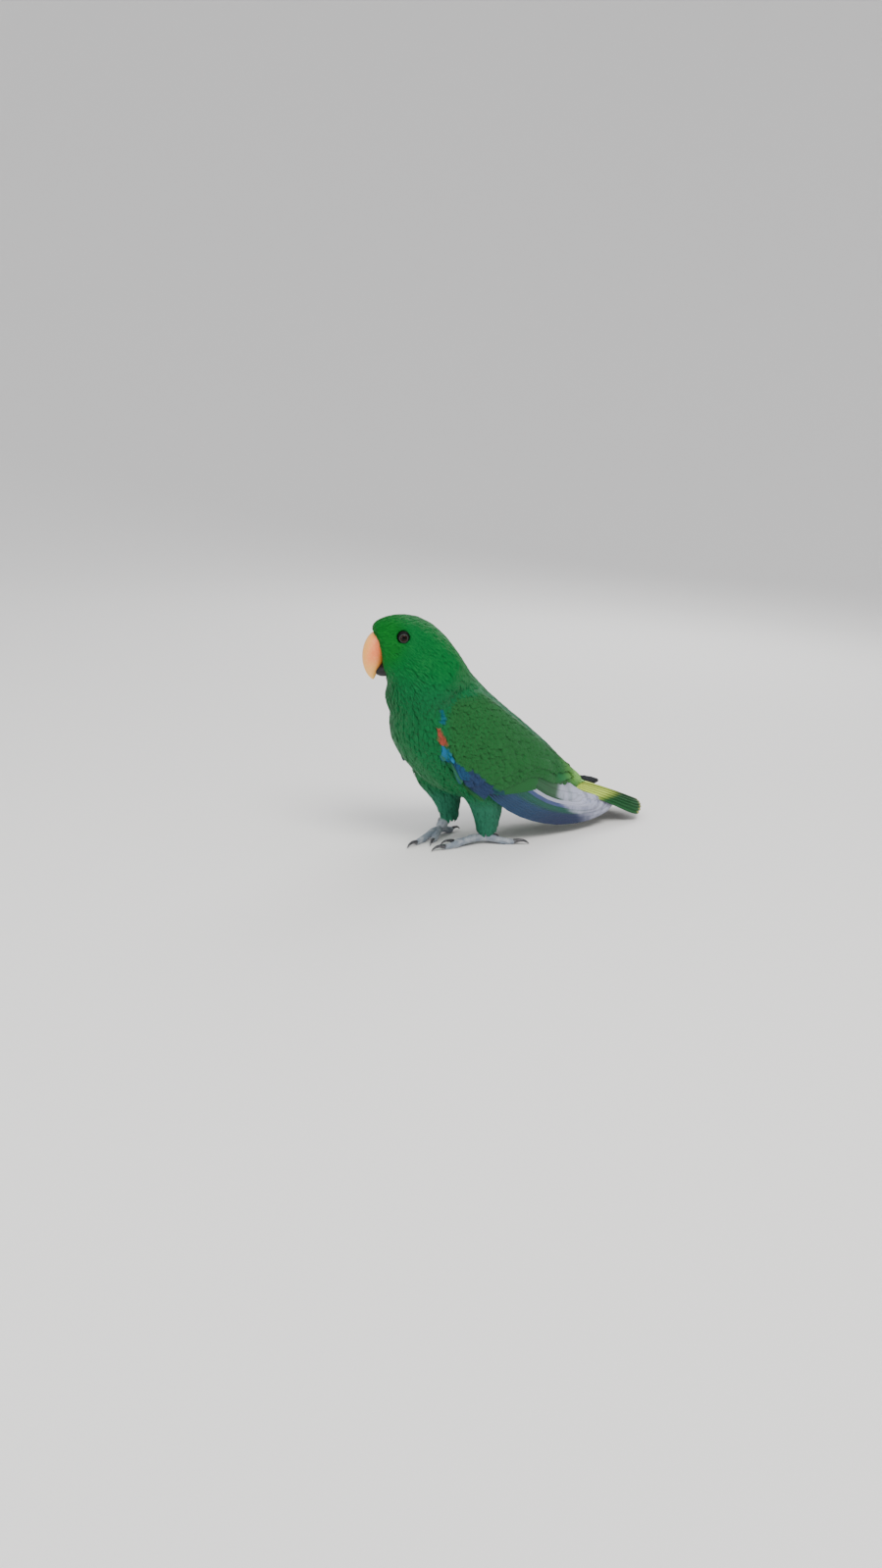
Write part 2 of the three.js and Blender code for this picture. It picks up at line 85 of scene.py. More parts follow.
camera_data = bpy.data.cameras.new("camera")
camera_data.lens = FOCAL_LENGTH
camera_data.sensor_width = 36
camera = bpy.data.objects.new("camera", camera_data)
bpy.context.scene.collection.objects.link(camera)
bpy.context.scene.camera = camera
turn, rise = math.radians(CAMERA_AZIMUTH), math.radians(CAMERA_ELEVATION)
towards = Vector((-math.sin(turn) * math.cos(rise), math.cos(turn) * math.cos(rise), -math.sin(rise)))
camera.location = CAMERA_PLACE
camera.rotation_mode = "QUATERNION"
roll = Quaternion((0, 0, 1), math.radians(CAMERA_ROLL))
camera.rotation_quaternion = towards.to_track_quat("-Z", "Y") @ roll
print("camera at", [round(v, 3) for v in camera.location])

# %% [markdown]
# ## A small language for materials
# Node trees are quick to write when a socket behaves like a number. The class below wraps a socket, so that
# `mask * 0.5 + 1` adds the Math nodes.

# %% Sockets as numbers
class Value:
    """A number that varies over a surface, held as the socket that gives it."""

    def __init__(self, paint, socket):
        self.paint = paint
        self.socket = socket

    def maths(self, operation, *others):
        return self.paint.maths(operation, self, *others)

    def __rsub__(self, other):
        return self.paint.maths("SUBTRACT", other, self)

    __add__ = __radd__ = partialmethod(maths, "ADD")
    __sub__ = partialmethod(maths, "SUBTRACT")
    __mul__ = __rmul__ = partialmethod(maths, "MULTIPLY")
    __truediv__ = partialmethod(maths, "DIVIDE")
    __pow__ = partialmethod(maths, "POWER")
    absolute = partialmethod(maths, "ABSOLUTE")
    sine = partialmethod(maths, "SINE")
    root = partialmethod(maths, "SQRT")

    def step(self, low, high):
        """0 below low, 1 above high and a smooth slope between them; falls where high is below low."""
        ends = (0, 1) if low < high else (1, 0)
        made = self.paint.node("ShaderNodeMapRange", {"interpolation_type": "SMOOTHSTEP", "clamp": True}, {
            "Value": self, "From Min": min(low, high), "From Max": max(low, high),
            "To Min": ends[0], "To Max": ends[1]})
        return Value(self.paint, made.outputs["Result"])


print("a value can be changed by", [name for name in vars(Value) if not name.startswith("_")])

# %% [markdown]
# A paint is one material. It adds nodes to it, and gives back values to reckon with. Colours don't go through
# Math nodes, which would turn them grey, so they have `mix` and `scaled` of their own.

# %% Paints
class Paint:
    """One material and the ways to add nodes to it."""

    def __init__(self, name, roughness, **constants):
        self.material = bpy.data.materials.new(name)
        self.material.use_nodes = True
        self.tree = self.material.node_tree
        self.shader = self.tree.nodes["Principled BSDF"]
        self.shader.inputs["Roughness"].default_value = roughness
        for key, number in constants.items():
            self.shader.inputs[key.replace("_", " ").title().replace("Ior", "IOR")].default_value = number
        self.coordinates = self.node("ShaderNodeTexCoord").outputs["Object"]

    def node(self, kind, settings=None, inputs=None):
        made = self.tree.nodes.new(kind)
        for key, setting in (settings or {}).items():
            setattr(made, key, setting)
        for key, value in (inputs or {}).items():
            self.feed(made.inputs[key], value)
        return made

    def feed(self, socket, value):
        if isinstance(value, Value):
            value = value.socket
        if isinstance(value, bpy.types.NodeSocket):
            self.tree.links.new(value, socket)
        else:
            socket.default_value = value

    def maths(self, operation, *values):
        made = self.node("ShaderNodeMath", {"operation": operation}, dict(enumerate(values)))
        return Value(self, made.outputs[0])

    def scaled(self, vector, amount):
        """A colour or a place times a number."""
        made = self.node("ShaderNodeVectorMath", {"operation": "SCALE"}, {0: vector, "Scale": amount})
        return made.outputs[0]

    def millimetres(self, vector=None):
        """The three parts of a place, which is that of the shaded spot unless another is given."""
        made = self.node("ShaderNodeSeparateXYZ", None, {0: self.scaled(vector or self.coordinates, 1 / MM)})
        return [Value(self, socket) for socket in made.outputs]

    def attributes(self, *names):
        made = [self.node("ShaderNodeAttribute", {"attribute_name": name}) for name in names]
        return [Value(self, node.outputs["Fac"]) for node in made]

    def home(self):
        """The place that each feather keeps as its own, in millimetres."""
        made = self.node("ShaderNodeAttribute", {"attribute_name": "home"})
        return self.millimetres(made.outputs["Vector"])

    def noise(self, size, detail=2, stretch=(1, 1, 1)):
        """Soft noise from 0 to 1 whose lumps are about size millimetres wide."""
        drawn = self.node(
            "ShaderNodeVectorMath", {"operation": "MULTIPLY"}, {0: self.coordinates, 1: stretch})
        made = self.node("ShaderNodeTexNoise", None, {
            "Vector": drawn.outputs[0], "Scale": 1 / (size * MM), "Detail": detail})
        return Value(self, made.outputs["Fac"])

    def mix(self, mask, first, second):
        """The first colour where the mask is 0 and the second where it is 1."""
        made = self.node("ShaderNodeMix", {"data_type": "RGBA"}, {0: mask, 6: first, 7: second})
        return made.outputs[2]

    def bump(self, height, depth):
        """A height of 0 to 1 that stands for depth millimetres."""
        made = self.node("ShaderNodeBump", None, {"Height": height, "Distance": depth * MM, "Strength": 1.0})
        self.feed(self.shader.inputs["Normal"], made.outputs[0])

    def finish(self, colour, roughness=None):
        self.feed(self.shader.inputs["Base Color"], colour)
        if roughness is not None:
            self.feed(self.shader.inputs["Roughness"], roughness)
        return self.material


print("a paint can give", [name for name in vars(Paint) if not name.startswith("_")])

# %% [markdown]
# Colours are given in steps of 0 to 255 and turned into the linear numbers of a shader. Horn and bare
# skin share one simple paint of two colours in streaks.

# %% Colours and streaks
def paint_of(red, green, blue):
    """A colour given in 0 to 255 steps, as the linear numbers that a shader wants."""
    shares = (red / 255, green / 255, blue / 255)
    return (*[v / 12.92 if v <= 0.04045 else ((v + 0.055) / 1.055) ** 2.4 for v in shares], 1)


def streaky_paint(name, colours, size, depth, mask, rough, detail=3, stretch=(1, 1, 1), **constants):
    """Two colours in streaks of some mm, which also rise by depth mm and change how rough the surface is."""
    paint = Paint(name, rough[0], **constants)
    streaks = paint.noise(size, detail, stretch)
    paint.bump(streaks, depth)
    return paint.finish(paint.mix(streaks.step(*mask[:2]) * mask[2], *colours), rough[0] + streaks * rough[1])


def wear(piece, material):
    piece.data.materials.clear()
    piece.data.materials.append(material)


print("a middle grey in linear numbers:", np.round(paint_of(128, 128, 128), 3))

# %% [markdown]
# ## Floor and light
# A still model is shown on a plain pale floor. The floor is a wide disc whose rim curves up into a wall all
# round, far behind the bird, so that no view shows an edge or a horizon. It is a circle whose rim is extruded
# outwards and upwards in small steps, and then straight up.

# %% Floor
FLOOR_RADIUS = 1.6
RIM_CURVE = 3.6
RIM_STEPS = 24
WALL_HEIGHT = 1.4


def deselect():
    if bpy.context.object is not None and bpy.context.object.mode != "OBJECT":
        bpy.ops.object.mode_set(mode="OBJECT")
    bpy.ops.object.select_all(action="DESELECT")


def smooth_shade(piece):
    piece.data.polygons.foreach_set("use_smooth", [True] * len(piece.data.polygons))
    piece.data.update()


@contextmanager
def editing(piece, wanted=None):
    """Edit mode with all of a piece selected, or only the corners whose places pass a test."""
    bpy.context.view_layer.objects.active = piece
    bpy.ops.object.mode_set(mode="EDIT")
    bpy.ops.mesh.select_all(action="DESELECT" if wanted else "SELECT")
    if wanted:
        bpy.ops.object.mode_set(mode="OBJECT")
        for vertex in piece.data.vertices:
            vertex.select = wanted(vertex.co)
        bpy.ops.object.mode_set(mode="EDIT")
    yield
    bpy.ops.object.mode_set(mode="OBJECT")


deselect()
bpy.ops.mesh.primitive_circle_add(vertices=96, radius=FLOOR_RADIUS, fill_type="NGON")
floor = bpy.context.object
floor.name = "floor"
bpy.ops.object.mode_set(mode="EDIT")
bpy.ops.mesh.select_all(action="DESELECT")
bpy.ops.mesh.select_mode(type="EDGE")
bpy.ops.mesh.select_all(action="SELECT")
radius = FLOOR_RADIUS
for step in range(1, RIM_STEPS + 1):
    before, after = (math.pi / 2 * part / RIM_STEPS for part in (step - 1, step))
    wider = FLOOR_RADIUS + RIM_CURVE * math.sin(after)
    bpy.ops.mesh.extrude_edges_move(
        TRANSFORM_OT_translate={"value": (0, 0, RIM_CURVE * (math.cos(before) - math.cos(after)))})
    bpy.ops.transform.resize(value=(wider / radius, wider / radius, 1), center_override=(0, 0, 0))
    radius = wider
bpy.ops.mesh.extrude_edges_move(TRANSFORM_OT_translate={"value": (0, 0, WALL_HEIGHT)})
bpy.ops.mesh.select_mode(type="VERT")
bpy.ops.object.mode_set(mode="OBJECT")
smooth_shade(floor)
print("floor is", round(2 * radius, 1), "m wide over its rim")
floor_paint = Paint("pale_floor", 0.85, specular_ior_level=0.2)
wear(floor, floor_paint.finish(paint_of(236, 235, 233)))

# %% [markdown]
# Large round lamps give the soft, even light of an overcast day. One of them is brighter, so that the form
# still reads, and a pale sky fills the shadows.

# %% Lights
BIRD_MIDDLE = Vector((0, 0, 0.1))


def area_light(name, place, size, power, tint=(1, 1, 1)):
    """A round lamp that faces the middle of the bird."""
    data = bpy.data.lights.new(name, "AREA")
    data.shape = "DISK"
    data.size = size
    data.energy = power
    data.color = tint
    lamp = bpy.data.objects.new(name, data)
    bpy.context.scene.collection.objects.link(lamp)
    lamp.location = place
    aim = BIRD_MIDDLE - lamp.location
    lamp.rotation_euler = aim.to_track_quat("-Z", "Y").to_euler()


area_light("key_light", (0.9, -0.3, 1.5), 0.9, 24, (1.0, 0.98, 0.95))
area_light("fill_light", (0.4, -1.6, 0.6), 1.2, 8, (0.95, 0.98, 1.0))
area_light("back_light", (-0.9, 1.2, 1.1), 1.0, 14)
world = bpy.data.worlds.new("studio_air")
world.use_nodes = True
air = world.node_tree.nodes["Background"].inputs
air["Color"].default_value = (0.95, 0.96, 1.0, 1)
air["Strength"].default_value = 1.0
bpy.context.scene.world = world
print("lamps:", [lamp.name for lamp in bpy.data.lights])

# %% [markdown]
# ## Where things are on the bird
# Places on the body are easiest to give as distances left, forward and up, in millimetres, from the spot on
# the floor under the bird's breast bone. The head is turned to the bird's right, so the head has its own
# left, forward and up, from the point between the eyes. Both are turned into metres of the shared frame.

# %% Body and head places
BODY_ORIGIN = Vector((2.14, -56.95, 0)) * MM
HEAD_TURN = 30
HEAD_PLACE = (-3, 69, 175.3)
SIDES = {"left": 1, "right": -1}


def straight(left, forward, up):
    return Vector((left, -forward, up))


def at(left, forward, up):
    return BODY_ORIGIN + straight(left, forward, up) * MM


def head_turned(left, forward, up):
    return Matrix.Rotation(math.radians(-HEAD_TURN), 3, "Z") @ straight(left, forward, up)


def on_head(left, forward, up):
    return at(*HEAD_PLACE) + head_turned(left, forward, up) * MM


print("between the eyes:", [round(v / MM) for v in on_head(0, 0, 0)])

# %% [markdown]
# ## The green and its markings
# A male eclectus parrot is bright green, a little yellower on the head, darker on the breast and greyer on
# the mantle. The rump is a light yellow-green, partly its own colour and partly a painted highlight. The
# bend of the folded wing shows blue, then a patch of the red underwing, then blue again down the edge. Skin
# and feathers get these colours from one function of the place on the body, so that nothing shows through
# between two feathers.

# %% Markings
HEAD_GREEN = paint_of(0, 99, 41)
FACE_GREEN = paint_of(0, 101, 28)
BREAST_GREEN = paint_of(9, 92, 47)
BELLY_GREEN = paint_of(12, 95, 50)
LEG_GREEN = paint_of(36, 106, 80)
MANTLE_GREEN = paint_of(16, 90, 54)
COVERT_GREEN = paint_of(26, 88, 42)
RUMP_GREEN_AND_HIGHLIGHT = paint_of(114, 171, 76)
WING_RED = paint_of(148, 68, 52)
EDGE_BLUE = paint_of(26, 104, 144)
BEND_BLUE = paint_of(8, 84, 96)
DARK_BLUE = paint_of(26, 64, 96)
COVERT_BLUE = paint_of(33, 53, 85)
EDGE_GREY = paint_of(38, 94, 68)
UNDER_TEAL = paint_of(18, 62, 74)
STRIPE_EDGE = 0.7
AXIS_FRONT, AXIS_HEIGHT, AXIS_SLOPE = 125, 110, 0.378


def side_stripe(y, z, start, end, half_widths):
    """1 inside a stripe of the side view that runs between two places, with a soft edge."""
    first, last = at(0, *start) / MM, at(0, *end) / MM
    run_y, run_z = last.y - first.y, last.z - first.z
    length = math.hypot(run_y, run_z)
    share = ((y - first.y) * run_y + (z - first.z) * run_z) / length ** 2
    share = share.maths("MAXIMUM", 0).maths("MINIMUM", 1)
    aside_y = y - first.y - share * run_y
    aside_z = z - first.z - share * run_z
    half = half_widths[0] + share * (half_widths[1] - half_widths[0])
    return ((aside_y * aside_y + aside_z * aside_z).root() - half).step(STRIPE_EDGE, -STRIPE_EDGE)


EDGE_MARKS = [
    ((14, 58), (-6, 48), (6.0, 6.5), UNDER_TEAL),
    ((26, 68), (6, 53), (5.5, 6.5), COVERT_BLUE),
    ((52, 121), (50.5, 113), (1.2, 2.0), BEND_BLUE),
    ((42, 81), (30, 68), (2.2, 4.5), DARK_BLUE),
    ((45.5, 90), (41, 80), (1.6, 1.6), EDGE_BLUE),
    ((52.5, 108), (47.5, 95), (0.5, 2.0), WING_RED),
    ((44.5, 85), (38.5, 74), (0.5, 0.7), EDGE_GREY),
    ((38.5, 74), (28, 61), (0.8, 0.8), EDGE_GREY),
]


def markings(paint, place, wing):
    """The colour of skin or feathers at a place. The marks of the wing's edge show only where wing is 1."""
    x, y, z = place
    out = (x - BODY_ORIGIN.x / MM).absolute()
    head = at(*HEAD_PLACE) / MM
    above_axis = z - AXIS_HEIGHT + (y + AXIS_FRONT) * AXIS_SLOPE
    colour = paint.mix(z.step(60, 118), BELLY_GREEN, BREAST_GREEN)
    colour = paint.mix(z.step(52, 32), colour, LEG_GREEN)
    colour = paint.mix(above_axis.step(8, 34), colour, MANTLE_GREEN)
    colour = paint.mix(z.step(118, 158), colour, HEAD_GREEN)
    face = (((x - head.x) / 22) ** 2 + ((y - head.y + 18) / 20) ** 2 + ((z - head.z + 4) / 22) ** 2).root()
    colour = paint.mix(face.step(1.3, 0.7), colour, FACE_GREEN)
    on_wing = wing * y.step(-112, -98) * z.step(142, 124)
    colour = paint.mix(on_wing, colour, COVERT_GREEN)
    # The rump and upper tail coverts are a light yellow-green: partly their own colour, partly a painted
    # highlight.
    colour = paint.mix(y.step(22, 70) * above_axis.step(-10, 8), colour, RUMP_GREEN_AND_HIGHLIGHT)
    marked = wing.maths("MAXIMUM", out.step(24, 28) * z.step(76, 82))
    for start, end, half_widths, mark in EDGE_MARKS:
        colour = paint.mix(side_stripe(y, z, start, end, half_widths) * marked, colour, mark)
    return colour

# %% [markdown]
# ## Working on a mesh
# Every piece starts as a copy of packed solids or as a plain shape, is changed by modifiers and by moving its
# corners, and is handed over in the same way.

# %% Mesh helpers
MERGE_GAP = 0.01 * MM


def copy_of(names, new_name):
    """A new object with merged copies of CAD nodes."""
    deselect()
    copies = [bpy.data.objects.new(new_name, frame["nodes"][name].data.copy()) for name in names]
    for twin in copies:
        bpy.context.scene.collection.objects.link(twin)
        twin.select_set(True)
    piece = copies[0]
    bpy.context.view_layer.objects.active = piece
    if len(copies) > 1:
        bpy.ops.object.join()
    piece.name = new_name
    with editing(piece):
        bpy.ops.mesh.remove_doubles(threshold=MERGE_GAP)
    piece.data.materials.clear()
    return piece


def change(piece, kind, **settings):
    """Adds a modifier and applies it."""
    deselect()
    piece.select_set(True)
    bpy.context.view_layer.objects.active = piece
    modifier = piece.modifiers.new(kind.lower(), kind)
    for key, setting in settings.items():
        setattr(modifier, key, setting)
    bpy.ops.object.modifier_apply(modifier=modifier.name)


def finish_piece(piece, slot, *nodes):
    """Hands a piece over: it is shaded smooth, rides on the bird, and may replace CAD nodes. The slot is not
    used.
    """
    smooth_shade(piece)
    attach(piece, "root")
    if nodes:
        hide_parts(*nodes)


def all_of(items, field, width=3, kind=float):
    """One field of all the items of a mesh, as one row an item."""
    values = np.empty(len(items) * width, dtype=kind)
    items.foreach_get(field, values)
    return values.reshape(-1, width)


def places_of(piece):
    return all_of(piece.data.vertices, "co")


def normals_of(piece):
    return all_of(piece.data.vertex_normals, "vector")


def move_to(piece, spots):
    piece.data.vertices.foreach_set("co", np.ascontiguousarray(spots, dtype=float).ravel())
    piece.data.update()


def unit(vectors):
    return vectors / np.maximum(np.linalg.norm(vectors, axis=-1, keepdims=True), 1e-12)


def ramp(values, low, high):
    """0 at low, 1 at high and a smooth slope between them."""
    share = np.clip((values - low) / (high - low), 0, 1)
    return share * share * (3 - 2 * share)


def between(first, last, share):
    return first + (last - first) * share


print("a ramp from 0 to 10 at 0, 5 and 10:", ramp(np.array([0, 5, 10]), 0, 10))

# %% [markdown]
# ## The skin
# Under its feathers a bird is one soft body. The packed solids of head, neck, trunk, wings, legs and toes are
# copied, joined and remeshed, which melts them into one surface with no seams. The surface is then drawn
# inwards by the depth of the coat, less on the face and not at all on the bare feet. The feet are melted
# apart from the body with a finer mesh, because their scales are small, and the two are joined in the thighs.

# %% Skin
BODY_NODES = ["head", "neck", "trunk", "wing_left", "wing_right", "thigh_left", "thigh_right"]
BODY_VOXEL = 1.7 * MM
COAT_DEPTH = 1.9
FACE_COAT_DEPTH = 0.8
EYE_COAT_SHARE = 0.15
BILL_COAT_SHARE = 0.35
HEAD_FADE = (26, 60)
EYE_FADE = (5, 12)
BILL_FADE = (14, 24)
EYE_OUT = 16.6
EYES = {side: on_head(sign * EYE_OUT, 0, 0) for side, sign in SIDES.items()}
BILL_MIDDLE = on_head(0, 20, -16)
HEAD_MIDDLE = on_head(0, 0, -4)


def distance_to(spots, place):
    return np.linalg.norm(spots - np.array(place), axis=1) / MM


def coat_depth(spots):
    """How many millimetres the skin lies inside the outline."""
    depth = between(FACE_COAT_DEPTH, COAT_DEPTH, ramp(distance_to(spots, HEAD_MIDDLE), *HEAD_FADE))
    for place in EYES.values():
        depth *= between(EYE_COAT_SHARE, 1, ramp(distance_to(spots, place), *EYE_FADE))
    depth *= between(BILL_COAT_SHARE, 1, ramp(distance_to(spots, BILL_MIDDLE), *BILL_FADE))
    return depth


skin = copy_of(BODY_NODES, "skin")
change(skin, "REMESH", mode="VOXEL", voxel_size=BODY_VOXEL)
change(skin, "SMOOTH", factor=0.5, iterations=6)
spots = places_of(skin)
move_to(skin, spots - normals_of(skin) * (coat_depth(spots) * MM)[:, None])
change(skin, "SMOOTH", factor=0.5, iterations=4)
print("skin of the body:", len(skin.data.polygons), "faces")

# %% [markdown]
# Feathers need to know the surface that they grow on. A search tree over the skin finds the nearest place on
# it to any other. It also holds the packed slab of the tail, over which the last feathers of the rump lie.
# Each corner of the skin is told which part of the bird it belongs to: the packed solid whose surface is
# nearest once the depth of the coat is added.

# %% Surfaces and regions
WING_REGIONS = [number for number, name in enumerate(BODY_NODES) if "wing" in name]
THIGH_REGIONS = [number for number, name in enumerate(BODY_NODES) if "thigh" in name]


def surface_of(*pieces):
    corners, faces = [], []
    for piece in pieces:
        base = len(corners)
        corners += [vertex.co.copy() for vertex in piece.data.vertices]
        faces += [[base + corner for corner in face.vertices] for face in piece.data.polygons]
    return BVHTree.FromPolygons(corners, faces)


def gap_to(surface, spot):
    return surface.find_nearest(spot)[3]


outer_surface = surface_of(skin, frame["nodes"]["tail"])
node_surfaces = [surface_of(frame["nodes"][name]) for name in BODY_NODES]
skin_spots, skin_normals = places_of(skin), normals_of(skin)
outline_spots = skin_spots + skin_normals * (coat_depth(skin_spots) * MM)[:, None]
skin_regions = np.array([
    min(range(len(BODY_NODES)), key=lambda number: gap_to(node_surfaces[number], spot))
    for spot in outline_spots
])
skin.data.calc_loop_triangles()
skin_triangles = np.array([triangle.vertices for triangle in skin.data.loop_triangles])
for number, name in enumerate(BODY_NODES):
    print(name, "has", int((skin_regions == number).sum()), "corners of the skin")

# %% [markdown]
# ## The feet
# A parrot's foot has two toes in front and two behind, all under small round scales, with a row of wide
# scales along the top of each toe. The scales are real relief: points are spread evenly over the skin, and
# each lifts a small dome round itself. Along the toes the domes give way to crosswise plates.

# %% Scales
FEET = {
    "left": {"foot": (17, -12, 5.5), "ankle": (17.5, -15, 20), "turn": 6},
    "right": {"foot": (-16, 6, 5.5), "ankle": (-16, -1, 21), "turn": -31},
}
TOE_TURNS = {"inner_front": 10, "outer_front": -8, "outer_hind": 202, "inner_hind": 160}
TOE_LENGTHS = {"inner_front": 25, "outer_front": 40, "outer_hind": 30, "inner_hind": 17}
SCALE_SPACING = 1.25
SCALE_REACH = 0.62 * SCALE_SPACING
SCALE_HEIGHT = 0.16
PLATE_LENGTH = 2.3
PLATE_HEIGHT = 0.24
TOE_START = (2, 6)
TOE_SIDES = (3.6, 2.6)
FACES_UP = (0.15, 0.45)


def toe_way(side, toe):
    angle = math.radians(FEET[side]["turn"] + SIDES[side] * TOE_TURNS[toe])
    return Vector((-math.sin(angle), -math.cos(angle), 0))


def tree_of(places, numbers):
    """A search tree over the places with the given numbers."""
    tree = KDTree(len(numbers))
    for number in numbers:
        tree.insert(places[number], number)
    tree.balance()
    return tree


def even_spots(places, spacings):
    """Numbers of some of the places, evenly spread: each clears the others from a ball of its own spacing."""
    tree = tree_of(places, range(len(places)))
    free = [True] * len(places)
    kept = []
    for number in dice.permutation(len(places)):
        if free[number]:
            kept.append(number)
            for _place, other, _gap in tree.find_range(places[number], spacings[number] * MM):
                free[other] = False
    return kept


def scale_relief(side, spots, normals):
    """Height of the scales in millimetres at each spot of a foot."""
    tree = tree_of(spots, even_spots(spots, np.full(len(spots), SCALE_SPACING)))
    nearest = np.array([tree.find(spot)[2] for spot in spots])
    height = SCALE_HEIGHT * np.clip(1 - (nearest / (SCALE_REACH * MM)) ** 2, 0, 1) ** 0.5
    offset = spots - np.array(at(*FEET[side]["foot"]))
    for toe, length in TOE_LENGTHS.items():
        way = np.array(toe_way(side, toe))
        along = offset @ way / MM
        aside = np.abs(offset @ np.array([way[1], -way[0], 0])) / MM
        on_toe = ramp(along, *TOE_START) * ramp(-along, -length - 1, -length + 1)
        on_toe *= ramp(aside, *TOE_SIDES) * ramp(normals[:, 2], *FACES_UP)
        plates = np.abs(np.sin(math.pi * along / PLATE_LENGTH)) ** 0.5 * PLATE_HEIGHT
        height = height * (1 - on_toe) + plates * on_toe
    return height


print("plates along the longest toe:", int(max(TOE_LENGTHS.values()) / PLATE_LENGTH))

# %% [markdown]
# The tarsus and toes of each side are melted with a fine mesh, together with a shin that runs up into the
# thigh. The scales are raised on it, soles are kept flat on the floor, and the foot is joined to the skin.

# %% Feet
FOOT_VOXEL = 0.34 * MM
MELT = 0.25
SHIN_RADIUS = 4.5
SHIN_RISE = 20
SHIN_SHIFT = Vector((0, -1.5, 2)) * MM


def swell(piece, amount):
    move_to(piece, places_of(piece) + normals_of(piece) * amount * MM)


def foot_nodes(side):
    return [f"tarsus_{side}"] + [f"toe_{toe}_{side}" for toe in TOE_TURNS]


def make_foot(side):
    foot = copy_of(foot_nodes(side), f"foot_{side}")
    deselect()
    bpy.ops.mesh.primitive_cone_add(
        vertices=24, radius1=SHIN_RADIUS * 0.9 * MM, radius2=SHIN_RADIUS * 1.2 * MM, depth=SHIN_RISE * MM,
        location=at(*FEET[side]["ankle"]) + SHIN_SHIFT)
    foot.select_set(True)
    bpy.context.view_layer.objects.active = foot
    bpy.ops.object.join()
    swell(foot, MELT)
    change(foot, "REMESH", mode="VOXEL", voxel_size=FOOT_VOXEL)
    change(foot, "SMOOTH", factor=0.5, iterations=14)
    swell(foot, -MELT * 1.2)
    spots, normals = places_of(foot), normals_of(foot)
    spots += normals * (scale_relief(side, spots, normals) * MM)[:, None]
    spots[:, 2] = np.maximum(spots[:, 2], 0)
    move_to(foot, spots)
    return foot


body_skin = bpy.data.objects.new("body_skin", skin.data.copy())
for side in SIDES:
    foot = make_foot(side)
    change(skin, "BOOLEAN", object=foot, operation="UNION", solver="MANIFOLD")
    bpy.data.objects.remove(foot)
finish_piece(skin, "foot_skin", *BODY_NODES, *foot_nodes("left"), *foot_nodes("right"))
print("whole skin:", len(skin.data.polygons), "faces")

# %% [markdown]
# The skin's paint is the plumage green under the feathers, and grey on the bare feet. A foot is paler in soft
# patches, and has painted shade in the low places of the fine grain that also gives its bump.

# %% Paint of the skin
FOOT_GREY = paint_of(126, 136, 148)
FOOT_PALE = paint_of(168, 174, 180)
FOOT_PAINTED_SHADE = paint_of(70, 76, 84)


def skin_paint():
    paint = Paint("skin", 0.7, specular_ior_level=0.25)
    place = paint.millimetres()
    patches = paint.noise(7)
    grain = paint.noise(0.7, detail=3)
    foot = paint.mix(patches.step(0.35, 0.7), FOOT_GREY, FOOT_PALE)
    # Painted shade: the foot is darkened where its fine grain is low.
    foot = paint.mix(grain.step(0.55, 0.3) * 0.55, foot, FOOT_PAINTED_SHADE)
    bare = place[2].step(16, 12)
    wing = (place[0] - BODY_ORIGIN.x / MM).absolute().step(31, 34)
    colour = paint.mix(bare, markings(paint, place, wing), foot)
    paint.bump(grain, 0.12)
    return paint.finish(colour, 0.75 - bare * 0.2 + (patches - 0.5) * 0.15)


wear(skin, skin_paint())

# %% [markdown]
# ## One feather, many times
# A body feather is a thin vane with a stiff shaft down its middle, narrow where it leaves the skin and round
# at its tip. A feather is repeated thousands of times, so one is modelled with a few dozen faces: a small
# ball, turned on its side, flattened, and each of its rings drawn to the width of the vane there. It is kept
# one unit wide each way, one unit long and one unit thick, and each copy is given its own size.

# %% Feather models
SAME_ROW = 0.001


def rings_of(model):
    """How far along the model each of its cross rows lies."""
    return sorted({round(vertex.co.y, 4) for vertex in model.data.vertices})


def vane_width(along, fullest, slender):
    """Half the width of a small feather's vane at a share of its length. It is 0.5 for a round tip."""
    swelling = 0.3 + 0.7 * math.sin(math.pi / 2 * min(1, along / fullest))
    tip = max(0, 1 - max(0, (along - fullest) / (1 - fullest)) ** 2) ** slender
    return swelling * tip


def small_feather(name, segments, rings, fullest, slender):
    deselect()
    bpy.ops.mesh.primitive_uv_sphere_add(segments=segments, ring_count=rings, radius=0.5)
    model = bpy.context.object
    model.name = name
    with editing(model):
        bpy.ops.transform.rotate(value=math.pi / 2, orient_axis="X", center_override=(0, 0, 0))
        bpy.ops.transform.translate(value=(0, 0.5, 0))
        bpy.ops.transform.resize(value=(2, 1, 2), center_override=(0, 0.5, 0))
    for level in rings_of(model)[1:-1]:
        wide = vane_width(level, fullest, slender) / math.sqrt(1 - (2 * level - 1) ** 2)
        with editing(model, lambda place: abs(place.y - level) < SAME_ROW):
            bpy.ops.transform.resize(value=(wide, 1, 1), center_override=(0, level, 0))
    return taken_from(model)


class Model:
    """The points and faces of a modelled feather, ready to be copied by the thousand."""

    def __init__(self, spots, faces):
        self.spots = spots
        self.faces = faces
        self.triangles = sum(len(face) - 2 for face in faces)


def taken_from(piece):
    model = Model(places_of(piece), [list(face.vertices) for face in piece.data.polygons])
    bpy.data.objects.remove(piece)
    return model


BODY_FEATHER = small_feather("body_feather", 8, 7, 0.55, 0.7)
FACE_FEATHER = small_feather("face_feather", 6, 5, 0.45, 0.9)
print("triangles in a body feather:", BODY_FEATHER.triangles, "and a face feather:", FACE_FEATHER.triangles)
print("a body feather is", np.ptp(BODY_FEATHER.spots, axis=0).round(2), "units across, along and thick")

# %% [markdown]
# ## The lie of the coat
# Feathers grow in tracts and lie away from the bill, back over the crown and down over breast and legs. The
# lie at any place is blended from a short list of guides, each a place on the bird and the way its feathers
# point. Near guides count most. Places and ways off the middle line are mirrored to the other side.

